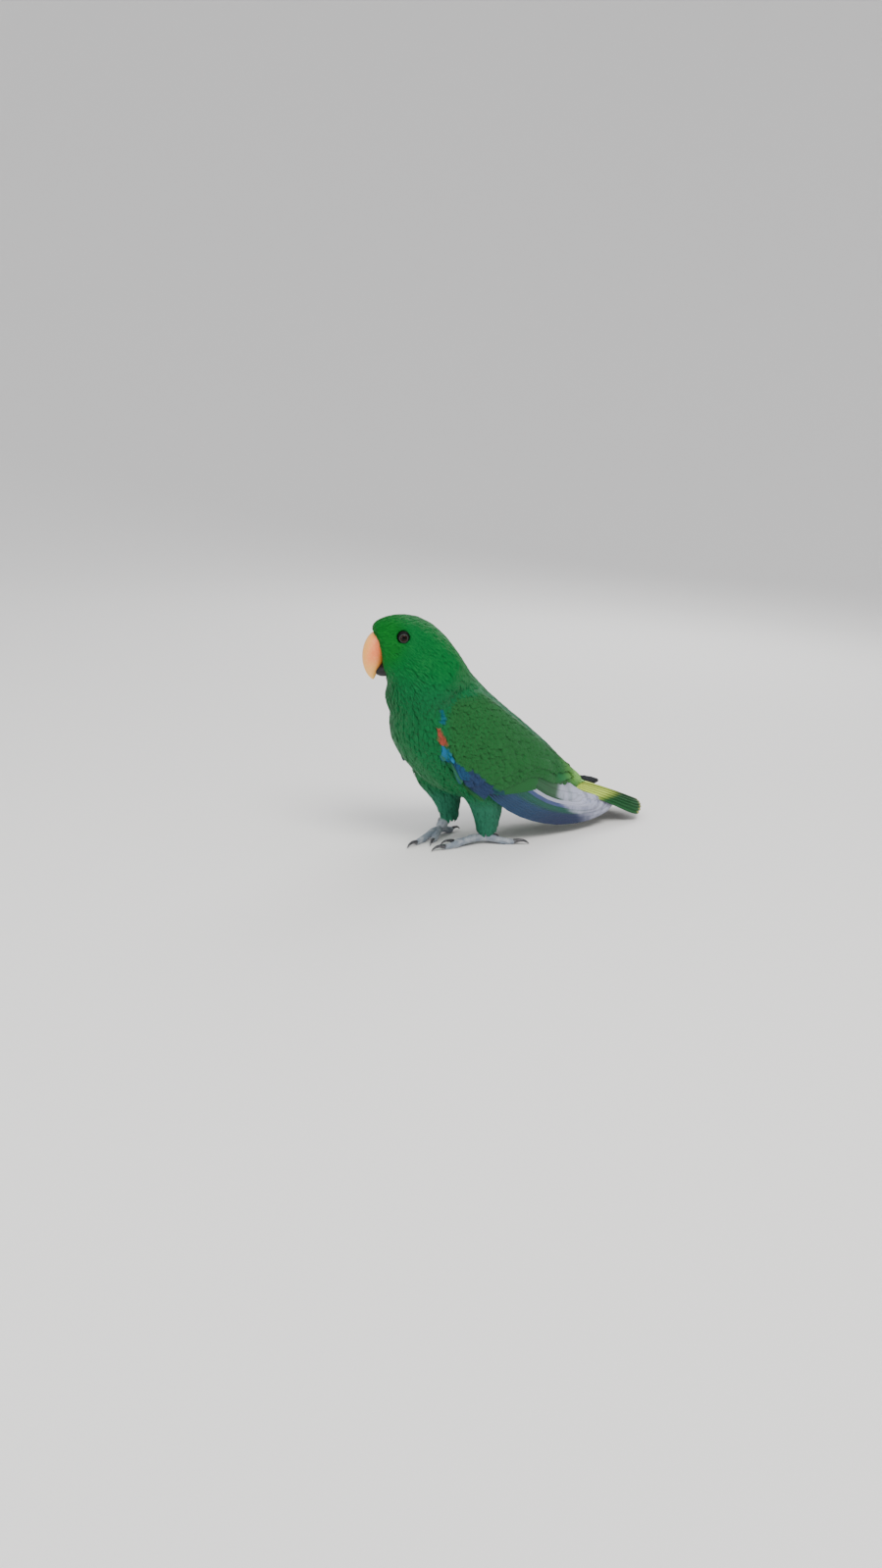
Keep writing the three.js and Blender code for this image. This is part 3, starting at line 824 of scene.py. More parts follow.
# %% Guides for the lie
BODY_GUIDES = [
    ((0, 30, 165), (0, -0.75, -0.66)), ((0, -10, 130), (0, -0.83, -0.55)), ((0, -60, 98), (0, -0.86, -0.5)),
    ((0, -110, 60), (0, -0.94, -0.34)), ((33, 40, 140), (0.1, -0.55, -0.83)), ((0, 76, 105), (0, -0.15, -1)),
    ((0, 60, 75), (0, -0.6, -0.8)), ((0, 20, 45), (0, -0.93, -0.3)), ((0, -40, 35), (0, -1, 0)),
    ((0, -100, 31), (0, -1, -0.1)), ((38, 20, 70), (0, -0.85, -0.5)), ((36, 60, 105), (0.1, -0.35, -0.9)),
    ((40, 45, 110), (0, -0.75, -0.65)), ((44, 0, 95), (0, -0.85, -0.52)), ((42, 25, 70), (0, -0.8, -0.6)),
    ((36, -60, 72), (0, -0.92, -0.4)), ((22, 5, 52), (0, -0.3, -0.95)), ((18, -12, 25), (0, -0.1, -1)),
]
HEAD_GUIDES = [
    ((0, 22, 6), (0, -0.5, 0.85)), ((0, 5, 16), (0, -1, 0)), ((0, -15, 14), (0, -0.93, -0.35)),
    ((12, 17, -3), (0.35, -0.9, 0.2)), ((16, 12, -14), (0.2, -0.85, -0.5)), ((21, 0, -12), (0, -0.75, -0.65)),
    ((22, -10, -5), (0, -0.85, -0.5)), ((0, 12, -34), (0, -0.5, -0.85)), ((0, 9, -46), (0, -0.1, -1)),
]
GUIDE_REACH = 17 * MM


def guides_of(table, to_place, to_way):
    """The guides of a table as places and ways of the frame, with their mirror images."""
    rows = []
    for (left, forward, up), (way_left, way_forward, way_up) in table:
        for mirror in (1, -1) if left else (1,):
            way = to_way(mirror * way_left, way_forward, way_up)
            rows.append((to_place(mirror * left, forward, up), way.normalized()))
    return rows


guides = guides_of(HEAD_GUIDES, on_head, head_turned) + guides_of(BODY_GUIDES, at, straight)
GUIDE_PLACES, GUIDE_WAYS = (np.array(rows) for rows in zip(*guides))


def lie_at(spots, normals):
    """The way feathers point at each spot, along the surface."""
    gaps = ((spots[:, None, :] - GUIDE_PLACES[None]) ** 2).sum(axis=2)
    weights = np.exp(-(gaps - gaps.min(axis=1, keepdims=True)) / (2 * GUIDE_REACH ** 2))
    ways = weights @ GUIDE_WAYS
    return unit(ways - normals * (ways * normals).sum(axis=1, keepdims=True))


print("guides:", len(GUIDE_PLACES))

# %% [markdown]
# ## Laying feathers on a surface
# Each feather follows the surface that it grows from. From its root the code walks down the lie in a few
# short steps, and at each step drops back to the nearest place on the surface. The modelled feather is then
# bent along that walk. Its root is sunk and its tip is lifted a little, so that feathers lie over each other
# like roof tiles, each tip over the roots behind it.

# %% Laying
WALK_STEPS = 3
NEAR_ENOUGH = 0.55
TURN_SHARE = 0.65
TANGENT_STEP = 0.02
LIFT_CURVE = 1.7


def walk(surface, root, normal, way, length):
    """Places and surface directions at even steps from a root down the lie; straight on with no surface."""
    place, facing, onward = Vector(root), Vector(normal), Vector(way)
    places, normals = [place], [facing]
    for _ in range(WALK_STEPS):
        ahead = place + onward * (length * MM / WALK_STEPS)
        found, turned, _face, _gap = surface.find_nearest(ahead) if surface else (None,) * 4
        if found is not None and turned.dot(facing) > NEAR_ENOUGH:
            place, facing = found, (facing * (1 - TURN_SHARE) + turned * TURN_SHARE).normalized()
        else:
            place = ahead
        onward = (onward - facing * onward.dot(facing)).normalized()
        places.append(place)
        normals.append(facing)
    return places, normals


def between_steps(rows, share):
    """Values at a share of each walk, from the values at its steps: one row a feather, one column a share."""
    last = rows.shape[1] - 1
    spot = np.clip(share * last, 0, last)
    low = np.minimum(spot.astype(int), last - 1)
    part = (spot - low)[None, :, None]
    return rows[:, low] * (1 - part) + rows[:, low + 1] * part


def bend_feathers(model, paths, facings, widths, thicknesses, root_lift, tip_lift, camber, sheet=None):
    """Points of every copy of the model, bent along its path and laid on a sheet if given. Sizes in mm."""
    along = model.spots[:, 1]
    spine = between_steps(paths, along)
    up = unit(between_steps(facings, along))
    ahead = between_steps(paths, np.minimum(along + TANGENT_STEP, 1))
    behind = between_steps(paths, np.maximum(along - TANGENT_STEP, 0))
    side = unit(np.cross(unit(ahead - behind), up))
    across = model.spots[None, :, 0]
    lift = between(root_lift[:, None], tip_lift[:, None], 1 - (1 - along[None]) ** LIFT_CURVE)
    high = model.spots[None, :, 2] * thicknesses[:, None] / 2 + lift - camber[:, None] * across ** 2
    flat = spine + side * across[..., None] * (widths[:, None, None] * MM / 2)
    if sheet:
        flat[..., 0] = sheet.out_at(flat)
    return flat + up * (high * MM)[:, :, None]


def join_copies(name, model, points, attributes, homes):
    """One mesh object of many copies of a model, each with its own place in the attribute home."""
    count, size = points.shape[:2]
    mesh = bpy.data.meshes.new(name)
    faces = np.concatenate([np.array(face) for face in model.faces])
    loops = (faces[None] + (np.arange(count) * size)[:, None]).ravel()
    ends = np.cumsum(np.tile([len(face) for face in model.faces], count))
    starts = np.concatenate([[0], ends[:-1]])
    mesh.vertices.add(count * size)
    mesh.vertices.foreach_set("co", points.ravel())
    mesh.loops.add(len(loops))
    mesh.loops.foreach_set("vertex_index", loops.astype(np.int32))
    mesh.polygons.add(len(starts))
    mesh.polygons.foreach_set("loop_start", starts.astype(np.int32))
    mesh.update(calc_edges=True)
    mesh.validate()
    for key, rows in attributes.items():
        layer = mesh.attributes.new(key, "FLOAT", "POINT")
        layer.data.foreach_set("value", np.broadcast_to(rows, (count, size)).astype(np.float32).ravel())
    layer = mesh.attributes.new("home", "FLOAT_VECTOR", "POINT")
    layer.data.foreach_set("vector", np.repeat(homes, size, axis=0).astype(np.float32).ravel())
    piece = bpy.data.objects.new(name, mesh)
    bpy.context.scene.collection.objects.link(piece)
    return piece

# %% [markdown]
# ## Where feathers grow
# Feathers are smallest round the bill and eyes, larger down the neck, and largest on breast and back. That
# sets the spacing between roots. Places are drawn at random over the skin, more where the spacing is small.

# %% Spacing
CANDIDATES = 170000
HEAD_SPACING = 1.1
BODY_SPACING = 2.5
LEG_SPACING = 1.6
WING_SPACING = (1.45, 2.7)
FACE_SPACING_SHARE = 0.68
NECK_FADE = (20, 85)
FACE_FADE = (6, 20)
LEG_FADE = (62, 30)
WING_FADE = (-100, -50)
LID_OUT = 3.9


def eye_axis(side):
    return head_turned(SIDES[side], 0, 0)


LIDS = {side: EYES[side] + eye_axis(side) * LID_OUT * MM for side in SIDES}


def spacing_at(spots, regions):
    """How many millimetres apart the roots are at each spot."""
    spacing = between(HEAD_SPACING, BODY_SPACING, ramp(distance_to(spots, HEAD_MIDDLE), *NECK_FADE))
    to_face = np.minimum.reduce([distance_to(spots, place) for place in (*LIDS.values(), BILL_MIDDLE)])
    spacing *= between(FACE_SPACING_SHARE, 1, ramp(to_face, *FACE_FADE))
    low = ramp(spots[:, 2] / MM, *LEG_FADE) * np.isin(regions, THIGH_REGIONS)
    spacing = between(spacing, LEG_SPACING, low)
    on_wing = between(*WING_SPACING, ramp(spots[:, 1] / MM, *WING_FADE))
    return np.where(np.isin(regions, WING_REGIONS), on_wing, spacing)


def candidates():
    """Random places on the skin with their normals and regions, crowded where feathers are small."""
    middles = skin_spots[skin_triangles].mean(axis=1)
    regions = skin_regions[skin_triangles[:, 0]]
    sides = skin_spots[skin_triangles[:, 1:]] - skin_spots[skin_triangles[:, :1]]
    areas = np.linalg.norm(np.cross(sides[:, 0], sides[:, 1]), axis=1)
    weights = areas / spacing_at(middles, regions) ** 2
    chosen = dice.choice(len(middles), CANDIDATES, p=weights / weights.sum())
    shares = dice.random((CANDIDATES, 2))
    shares = np.where(shares.sum(axis=1, keepdims=True) > 1, 1 - shares, shares)
    shares = np.column_stack([1 - shares.sum(axis=1), shares])[:, :, None]
    corners = skin_triangles[chosen]
    spots = (skin_spots[corners] * shares).sum(axis=1)
    return spots, unit((skin_normals[corners] * shares).sum(axis=1)), regions[chosen]


spacings = spacing_at(skin_spots, skin_regions)
print("roots are from", spacings.min().round(2), "to", spacings.max().round(2), "mm apart")

# %% [markdown]
# The places are thinned so that no two are closer than their spacing. No feather grows on the bill, in the
# eyes, under the rows of coverts or on the bare feet. Each is turned a little at random from the lie.

# %% Roots
BARE_HEIGHT = 9.5
SOLE_HEIGHT = 24
FACES_DOWN = -0.45
BILL_CLEAR = 0.6
EYE_CLEAR = 3.4
TURN_SPREAD = 0.12
COVERT_TOP = [(-92, 59), (-75, 63), (-55, 69), (-20, 70), (22, 66)]
bill_surface = surface_of(frame["nodes"]["upper_mandible"], frame["nodes"]["lower_mandible"])


def is_inside(surface, spot):
    """A line from inside a closed surface crosses it an odd number of times."""
    onward, start, crossings = Vector((0.17, 0.29, 0.94)), Vector(spot), 0
    while True:
        found = surface.ray_cast(start, onward)[0]
        if found is None:
            return crossings % 2 == 1
        crossings += 1
        start = found + onward * 0.001 * MM


def under_coverts(spot, region):
    """The lower rear part of a wing, where the rows of coverts lie instead."""
    forward = -(spot[1] - BODY_ORIGIN.y) / MM
    line = np.interp(forward, *zip(*COVERT_TOP))
    return region in WING_REGIONS and COVERT_TOP[0][0] < forward < COVERT_TOP[-1][0] and spot[2] / MM < line


def can_grow(spot, normal, region):
    if spot[2] < BARE_HEIGHT * MM or under_coverts(spot, region):
        return False
    if normal[2] < FACES_DOWN and spot[2] < SOLE_HEIGHT * MM:
        return False
    if min((Vector(spot) - lid).length for lid in LIDS.values()) < EYE_CLEAR * MM:
        return False
    return gap_to(bill_surface, spot) > BILL_CLEAR * MM and not is_inside(bill_surface, spot)


def grow_roots():
    spots, normals, regions = candidates()
    spacings = spacing_at(spots, regions)
    kept = [number for number in even_spots(spots, spacings)
            if can_grow(spots[number], normals[number], regions[number])]
    return spots[kept], normals[kept], regions[kept], spacings[kept]


roots, root_normals, root_regions, root_spacings = grow_roots()
root_ways = lie_at(roots, root_normals)
aslant = dice.normal(0, TURN_SPREAD, (len(roots), 1))
root_ways = unit(root_ways + np.cross(root_normals, root_ways) * aslant)
print("body feathers:", len(roots))
for number, name in enumerate(BODY_NODES):
    print("on the", name, int((root_regions == number).sum()))

# %% [markdown]
# ## A flat map of the skin
# Each feather is given a tiny patch of one flat map, at the place where its root lies on an unwrap of the
# skin. A light copy of the skin is unwrapped for that, and each root is looked up on it.

# %% Map of the roots
PATCH = 0.003
PATCH_FILL = 0.9
MAP_DETAIL = 0.12


class FlatMap:
    """An unwrap of a piece's shape, to look up the map place of any spot near it."""

    def __init__(self, piece, keep):
        light = bpy.data.objects.new("light_copy", piece.data.copy())
        bpy.context.scene.collection.objects.link(light)
        change(light, "DECIMATE", ratio=keep)
        change(light, "TRIANGULATE")
        with editing(light):
            bpy.ops.uv.smart_project(angle_limit=math.radians(66), island_margin=0.006)
        self.surface = surface_of(light)
        corners, flat = light.data.vertices, light.data.uv_layers.active.data
        faces = light.data.polygons
        self.corners = [[corners[number].co.copy() for number in face.vertices] for face in faces]
        self.flats = [[flat[loop].uv.to_3d() for loop in face.loop_indices] for face in faces]
        bpy.data.objects.remove(light)

    def place_of(self, spot):
        found, _normal, face, _gap = self.surface.find_nearest(spot)
        flat = barycentric_transform(found, *self.corners[face], *self.flats[face])
        return flat.x, flat.y


skin_map = FlatMap(body_skin, MAP_DETAIL)
bpy.data.objects.remove(body_skin)
root_flats = np.array([skin_map.place_of(root) for root in roots])
print("roots on the map from", root_flats.min(axis=0).round(2), "to", root_flats.max(axis=0).round(2))


def write_map(piece, places):
    """Gives each corner of a piece its place on the map OFBake."""
    layer = piece.data.uv_layers.new(name="OFBake")
    corners = all_of(piece.data.loops, "vertex_index", 1, np.int32).ravel()
    layer.data.foreach_set("uv", places.reshape(-1, 2)[corners].astype(np.float32).ravel())


def patch_map(piece, model, flats):
    """Writes the map of many copies: each a small patch round its own place."""
    inside = np.column_stack([model.spots[:, 0] / 2, model.spots[:, 1] - 0.5]) * PATCH * PATCH_FILL
    write_map(piece, np.clip(flats, PATCH, 1 - PATCH)[:, None, :] + inside[None])

# %% [markdown]
# ## The small feathers
# Length and width of a feather follow the spacing of the roots there, so that about five feathers lie over
# each spot. Their tips come up to the outline that the packed model gives. Down the lower legs the feathers
# hang free of the skin. The coat is built one part of the body at a time, in pieces that a computer can
# still handle.

# %% The coat
LENGTH_IN_SPACINGS = {"head": 5.4, "neck": 5.4, "trunk": 5.4, "wing": 4.9, "thigh": 6.4}
WIDTH_IN_SPACINGS = {"head": 1.8, "neck": 2.0, "trunk": 2.2, "wing": 2.2, "thigh": 1.9}
SIZE_SPREAD = (0.88, 1.12)
LENGTH_SPREAD = (0.85, 1.1)
LIFT_SPREAD = (0.86, 1.02)
THINNEST, THICKER_BY_WIDTH = 0.06, 0.014
SUNK_SHARE, LIFTED_SHARE = 0.1, 0.9
CAMBER_SHARE = 0.012
HANG_HEIGHT = 26
LOOSE = 0.7
MOST_OFF = 1.1
MOST_OFF_BY_DEPTH = 0.65
MOST_TRIANGLES = 190000


def paths_of(numbers, lengths):
    rows, facings = [], []
    for number, length in zip(numbers, lengths):
        hanging = roots[number][2] < HANG_HEIGHT * MM
        places, normals = walk(None if hanging else outer_surface, roots[number], root_normals[number],
                               root_ways[number], length)
        rows.append(places)
        facings.append(normals)
    return np.array(rows), np.array(facings)


def lies_down(path):
    """Whether a walk ends on the surface, or hangs off a leg on purpose."""
    return path[0][2] < HANG_HEIGHT * MM or gap_to(outer_surface, Vector(path[-1])) < LOOSE * MM


def clear_of_eyes(paths):
    gaps = [np.linalg.norm(paths - np.array(lid), axis=2).min(axis=1) for lid in LIDS.values()]
    return np.minimum(*gaps) > (EYE_CLEAR - 0.1) * MM


def stands_off(points):
    """How far the farthest corner of each feather stands off the skin, in millimetres."""
    return np.array([max(gap_to(outer_surface, spot) for spot in rows) for rows in points]) / MM


def coat_piece(name, numbers, model, kind):
    numbers = np.array(numbers)
    chances = dice.random(len(numbers))
    sizes = root_spacings[numbers] * between(*SIZE_SPREAD, chances)
    lengths = sizes * LENGTH_IN_SPACINGS[kind] * dice.uniform(*LENGTH_SPREAD, len(numbers))
    paths, facings = paths_of(numbers, lengths)
    seen = clear_of_eyes(paths) & np.array([lies_down(path) for path in paths])
    numbers, chances, paths, facings = (rows[seen] for rows in (numbers, chances, paths, facings))
    widths = sizes[seen] * WIDTH_IN_SPACINGS[kind]
    depths = coat_depth(roots[numbers])
    lifts = depths * LIFTED_SHARE * dice.uniform(*LIFT_SPREAD, len(numbers))
    points = bend_feathers(model, paths, facings, widths, THINNEST + widths * THICKER_BY_WIDTH,
                           -SUNK_SHARE * depths, lifts, widths * CAMBER_SHARE)
    close = (stands_off(points) < MOST_OFF + MOST_OFF_BY_DEPTH * depths) | (paths[:, 0, 2] < HANG_HEIGHT * MM)
    print(name, "leaves out", int((~close).sum()), "that stand off")
    attributes = {"along": model.spots[None, :, 1], "across": model.spots[None, :, 0],
                  "chance": chances[close, None], "wing": np.full((1, 1), float(kind == "wing"))}
    piece = join_copies(name, model, points[close], attributes, paths[close, WALK_STEPS // 2 + 1])
    patch_map(piece, model, root_flats[numbers[close]])
    finish_piece(piece, "plumage")
    return piece


def grow_coat():
    pieces = []
    for region, node in enumerate(BODY_NODES):
        kind = node.split("_")[0]
        model = FACE_FEATHER if kind == "head" else BODY_FEATHER
        numbers = sorted(np.flatnonzero(root_regions == region), key=lambda number: roots[number][1])
        parts = math.ceil(len(numbers) * model.triangles / MOST_TRIANGLES)
        for part in range(parts):
            chunk = numbers[part * len(numbers) // parts:(part + 1) * len(numbers) // parts]
            pieces.append(coat_piece(f"feathers_{node}_{part + 1}", chunk, model, kind))
    return pieces


coat = grow_coat()
for piece in coat:
    print(piece.name, len(piece.data.vertices), "corners")

# %% [markdown]
# ## The look of a small feather
# The colour comes from the feather's own place on the body, blended with the place of the spot itself, so the
# markings have edges made of feathers without looking like tiles. Within a feather the base is darker, partly
# its own grey and partly painted shade where the feathers over it cover it, and the tip a little lighter, and
# the barbs run out from the shaft at a slant, which gives a silky bump.

# %% Paint of the coat
BARB_SLANT = 0.6
BARBS = 46
LONG_BARBS = 130
OWN_PLACE_SHARE = 0.4


def barb_bump(paint, along, across, count, depth):
    ridges = ((along - across.absolute() * BARB_SLANT) * count).sine() * 0.5 + 0.5
    shaft = across.absolute().step(0.1, 0.02)
    paint.bump(ridges * 0.5 + shaft, depth)


def coat_paint():
    paint = Paint("contour_feathers", 0.6, specular_ior_level=0.14)
    along, across, chance, wing = paint.attributes("along", "across", "chance", "wing")
    place = [home * (1 - OWN_PLACE_SHARE) + spot * OWN_PLACE_SHARE
             for home, spot in zip(paint.home(), paint.millimetres())]
    colour = markings(paint, place, wing)
    # Each feather's base is darker: partly its own grey, partly painted shade where the feathers over it
    # cover it.
    light = 0.86 + chance * 0.1 + paint.noise(15) * 0.2 - along.step(0.75, 0.2) * 0.25
    light = light - across.absolute().step(0.07, 0.02) * 0.07
    barb_bump(paint, along, across, BARBS, 0.03)
    return paint.finish(paint.scaled(colour, light), 0.62 - chance * 0.12)


contour_paint = coat_paint()
for piece in coat:
    wear(piece, contour_paint)

# %% [markdown]
# ## One long feather
# Feathers of the wing and tail are long, with a strong shaft and a firm vane. This model starts as a flat
# grid. Its cross rows are crowded towards the tip and drawn to the width of the vane, its middle columns
# are drawn in to make the shaft, and Solidify gives it two sides. Then the middle of both sides is pulled out
# into a ridge.

# %% Long feather model
LONG_COLUMNS, LONG_ROWS = 6, 13
SHAFT_SHARE = 0.07
OUTER_COLUMN = 0.6
TIP_CROWDING = 1.6
SHAFT_RISE = 1.6


def long_width(along):
    """Half the width of a long feather's vane at a share of its length."""
    opening = 0.16 + 0.84 * math.sin(math.pi / 2 * min(1, along / 0.4)) ** 0.9
    tip = math.sqrt(max(0, 1 - max(0, (along - 0.8) / 0.2) ** 2.6))
    return max(opening * tip, 0.12)


def long_feather(name):
    deselect()
    bpy.ops.mesh.primitive_grid_add(x_subdivisions=LONG_COLUMNS, y_subdivisions=LONG_ROWS, size=2)
    model = bpy.context.object
    model.name = name
    with editing(model):
        bpy.ops.transform.resize(value=(1, 0.5, 1), center_override=(0, 0, 0))
        bpy.ops.transform.translate(value=(0, 0.5, 0))
    for column, wanted in ((2 / LONG_COLUMNS, SHAFT_SHARE), (4 / LONG_COLUMNS, OUTER_COLUMN)):
        with editing(model, lambda place: abs(abs(place.x) - column) < 0.01):
            bpy.ops.transform.resize(value=(wanted / column, 1, 1), center_override=(0, 0, 0))
    for level in rings_of(model)[::-1]:
        crowded = 1 - (1 - level) ** TIP_CROWDING
        with editing(model, lambda place: abs(place.y - level) < SAME_ROW / 2):
            bpy.ops.transform.translate(value=(0, crowded - level, 0))
            bpy.ops.transform.resize(value=(long_width(crowded), 1, 1), center_override=(0, crowded, 0))
    change(model, "SOLIDIFY", thickness=2, offset=0)
    for face in (1, -1):
        with editing(model, lambda place: abs(place.x) < SAME_ROW and place.z * face > 0):
            bpy.ops.transform.translate(value=(0, 0, face * SHAFT_RISE))
    return taken_from(model)


LONG_FEATHER = long_feather("long_feather")
print("triangles in a long feather:", LONG_FEATHER.triangles)
print("it is", np.ptp(LONG_FEATHER.spots, axis=0).round(2), "units across, along and thick")

# %% [markdown]
# ## Long feathers on the wing
# A wing feather's line is a curve in the side view, from root to tip by way of a bend. Feathers that lie over
# each other need one smooth sheet to lie on, so places all over the wing are dropped onto it from outside and
# a smooth function is fitted to them. The upper rear part of the sheet leans in to the rump. The right wing
# is held a little off the body, and its tip higher and farther out, so its sheet is moved with it.

# %% A sheet over each wing
FAR_OUT = 150
REACH = {"left": 0, "right": 8}
RAISE = {"left": 0, "right": 10}
TIP_HOLD = {"left": Vector((0, 0, 0)), "right": Vector((-12, 0, 2)) * MM}
LEAN = {"left": 7, "right": 6}
WING_FRONT = 40
SHEET_AREA = [(-165, 19), (-127, 34), (-90, 58), (-20, 92), (20, 105), (46, 105), (44, 80), (28, 56),
              (-30, 26), (-100, 13), (-160, 11)]
SHEET_POWERS = [(a, b) for a in range(5) for b in range(4) if a + b < 5]
SHEET_MISS = 1.5
FITS = 4


def wing_share(forward):
    """How far a place has moved with the hold of its wing: 0 at the wing's front and 1 at its tip."""
    return np.clip((WING_FRONT - forward) / 200, 0, 1) ** 2


def tip_share(forward):
    """The same for the hold of the tip, which bends only the wing's end."""
    return np.clip((WING_FRONT - forward) / 210, 0, 1) ** 4


def held(side, forward, up):
    """A place in the side view, moved with the hold of its wing."""
    share = wing_share(forward)
    return forward - REACH[side] * share, up + RAISE[side] * share


def in_area(forward, up):
    """Whether a place of the side view lies inside the area that long wing feathers cover."""
    inside = False
    for (a, b), (c, d) in zip(SHEET_AREA, SHEET_AREA[1:] + SHEET_AREA[:1]):
        if (b > up) != (d > up) and forward < a + (up - b) * (c - a) / (d - b):
            inside = not inside
    return inside


def dropped(shells, side, forward, up):
    """How many mm out one of the shells lies at a spot of the side view, or None beside them."""
    outs = []
    for surface, depth in shells:
        start = at(0, *held(side, forward, up))
        start.x = SIDES[side] * FAR_OUT * MM
        found = surface.ray_cast(start, Vector((-SIDES[side], 0, 0)))[0]
        if found is not None:
            outs.append(found.x / MM * SIDES[side] - depth)
    return max(outs) * SIDES[side] if outs else None


class Sheet:
    """A smooth sheet over one wing: how far out it lies in mm at a place of the side view."""

    def __init__(self, side):
        self.side = side
        shells = [(surface_of(frame["nodes"][f"wing_{side}"]), COAT_DEPTH),
                  (surface_of(frame["nodes"][f"flight_feathers_{side}"]), 0)]
        grid = [(forward, up) for forward in range(-165, 50, 5) for up in range(11, 106, 3)]
        found = [(*spot, dropped(shells, side, *spot)) for spot in grid if in_area(*spot)]
        found = np.array([row for row in found if row[2] is not None], dtype=float)
        spots, outs = found[:, :2], found[:, 2]
        kept = np.ones(len(outs), dtype=bool)
        for _ in range(FITS):
            self.shares, *_rest = np.linalg.lstsq(self.terms(*spots[kept].T), outs[kept], rcond=None)
            off = np.abs(self.terms(*spots.T) @ self.shares - outs)
            kept = off < SHEET_MISS
        print(side, "sheet:", kept.sum(), "of", len(outs), "places, off by", off[kept].mean().round(2), "mm")

    def terms(self, forward, up):
        a, b = (np.asarray(forward) + 70) / 100, (np.asarray(up) - 45) / 40
        return np.stack([a ** first * b ** second for first, second in SHEET_POWERS], axis=-1)

    def out(self, forward, up):
        """How far out the sheet lies, in mm. Its upper rear part leans in to the rump."""
        lean = LEAN[self.side] * ramp(up, 22, 42) * ramp(-np.asarray(forward), 60, 105)
        return self.terms(forward, up) @ self.shares - SIDES[self.side] * lean

    def out_at(self, points):
        """Where along X the sheet lies for each of many points, in metres: place() read backwards."""
        held_forward = (BODY_ORIGIN.y - points[..., 1]) / MM
        forward = held_forward
        for _ in range(FITS):
            share = wing_share(forward)
            forward = held_forward + REACH[self.side] * share
        hold, tip = TIP_HOLD[self.side], tip_share(forward)
        up = points[..., 2] / MM - RAISE[self.side] * share - hold.z / MM * tip
        return self.out(forward, up) * MM + hold.x * tip

    def place(self, forward, up):
        spot = at(0, *held(self.side, forward, up))
        spot.x = self.out(forward, up) * MM
        return spot + TIP_HOLD[self.side] * tip_share(forward)

    def facing(self, forward, up):
        back, down = self.place(forward - 1, up), self.place(forward, up - 1)
        middle = self.place(forward, up)
        return (back - middle).cross(down - middle).normalized() * -SIDES[self.side]


sheets = {side: Sheet(side) for side in SIDES}

# %% [markdown]
# A row of long feathers is one mesh. Each feather takes its line, its width and how high it lies over the
# sheet, and knows its number in the row. Every corner of a flight feather is laid on the sheet as well, so
# that neighbours never cut through each other.

# %% Rows of long feathers
STATIONS = 9


def bezier(root, bend, tip, share):
    root, bend, tip = Vector(root), Vector(bend), Vector(tip)
    return root * (1 - share) ** 2 + bend * 2 * share * (1 - share) + tip * share ** 2


def wing_line(side, root, bend, tip):
    """Stations along a feather's line on the wing, with the directions that its surface faces there."""
    flat = [bezier(root, bend, tip, share) for share in np.linspace(0, 1, STATIONS)]
    sheet = sheets[side]
    return np.array([sheet.place(*spot) for spot in flat]), np.array([sheet.facing(*spot) for spot in flat])


def long_piece(name, slot, lines, widths, lifts, narrow, leading, thickness=0.3, shares=None, sunk=0.2,
               camber=0.025, sheet=None):
    """A row of long feathers as one mesh, each on its own strip of the map. Roots are sunk by some mm."""
    count = len(lines)
    shares = np.linspace(0, 1, count) if shares is None else shares
    paths, facings = (np.array(rows) for rows in zip(*lines))
    across = LONG_FEATHER.spots[:, 0] * leading
    spots = LONG_FEATHER.spots.copy()
    spots[:, 0] = np.where(across > 0, across * narrow, across) * leading
    model = Model(spots, LONG_FEATHER.faces)
    points = bend_feathers(model, paths, facings, widths, np.full(count, thickness), lifts - sunk, lifts,
                           widths * camber, sheet)
    attributes = {
        "along": spots[None, :, 1], "across": across[None], "chance": dice.random(count)[:, None],
        "share": shares[:, None], "above": (spots[None, :, 2] > 0) * 1.0,
        "wing": np.full((1, 1), float("tail" not in name)),
    }
    piece = join_copies(name, model, points, attributes, paths[:, STATIONS // 2])
    strip_map(piece, model, count)
    finish_piece(piece, slot)
    return piece


def strip_map(piece, model, count):
    """Writes the map of a row of long feathers: two strips for each, one for its face, one for its back."""
    number = np.arange(count)[:, None] * 2 + (model.spots[None, :, 2] < 0)
    high = (number + 0.5 + LONG_FEATHER.spots[None, :, 0] * 0.42) / (2 * count)
    wide = np.broadcast_to(0.02 + 0.96 * model.spots[None, :, 1], high.shape)
    write_map(piece, np.stack([wide, high], axis=2))


print("stations on a feather's line:", STATIONS)

# %% [markdown]
# ## The flight feathers
# In a folded wing the primaries lie lowest and outermost, one edge of each showing under the next, and the
# secondaries and the short inner feathers lie over them. Roots, bends and tips each run along a line of their
# own, given from the outermost feather to the innermost, and every feather takes its share of the three.

# %% Flight feathers
ROOT_LINE = [(12, 55), (-28, 69)]
BEND_LINE = [(-56, 0.5), (-66, 4), (-78, 9), (-90, 14), (-98, 19), (-96, 28), (-78, 42)]
TIP_LINE = [(-145, 13), (-161, 15), (-170, 18), (-160, 21), (-144, 24), (-127, 28), (-110, 35)]
PRIMARIES = 10
SECONDARIES = 9
FLIGHT_SUNK = 1.6
FLIGHT_LIFTS = (-1.8, 1.6)


def along_line(line, share):
    """The place at a share of a line through some places, from the outermost feather to the innermost."""
    spot = min(share * (len(line) - 1), len(line) - 1.001)
    return [between(first, last, spot % 1) for first, last in zip(line[int(spot)], line[int(spot) + 1])]


def flight_line(side, share):
    return wing_line(side, *[along_line(line, share) for line in (ROOT_LINE, BEND_LINE, TIP_LINE)])


def flight_row(side, name, first, last, count, widths, narrow):
    shares = np.linspace(first, last, count)
    lines = [flight_line(side, share) for share in shares]
    return long_piece(f"{name}_{side}", "flight_feathers", lines, np.linspace(*widths, count),
                      between(*FLIGHT_LIFTS, shares), narrow, SIDES[side], 0.2,
                      shares=shares, sunk=FLIGHT_SUNK, camber=0, sheet=sheets[side])


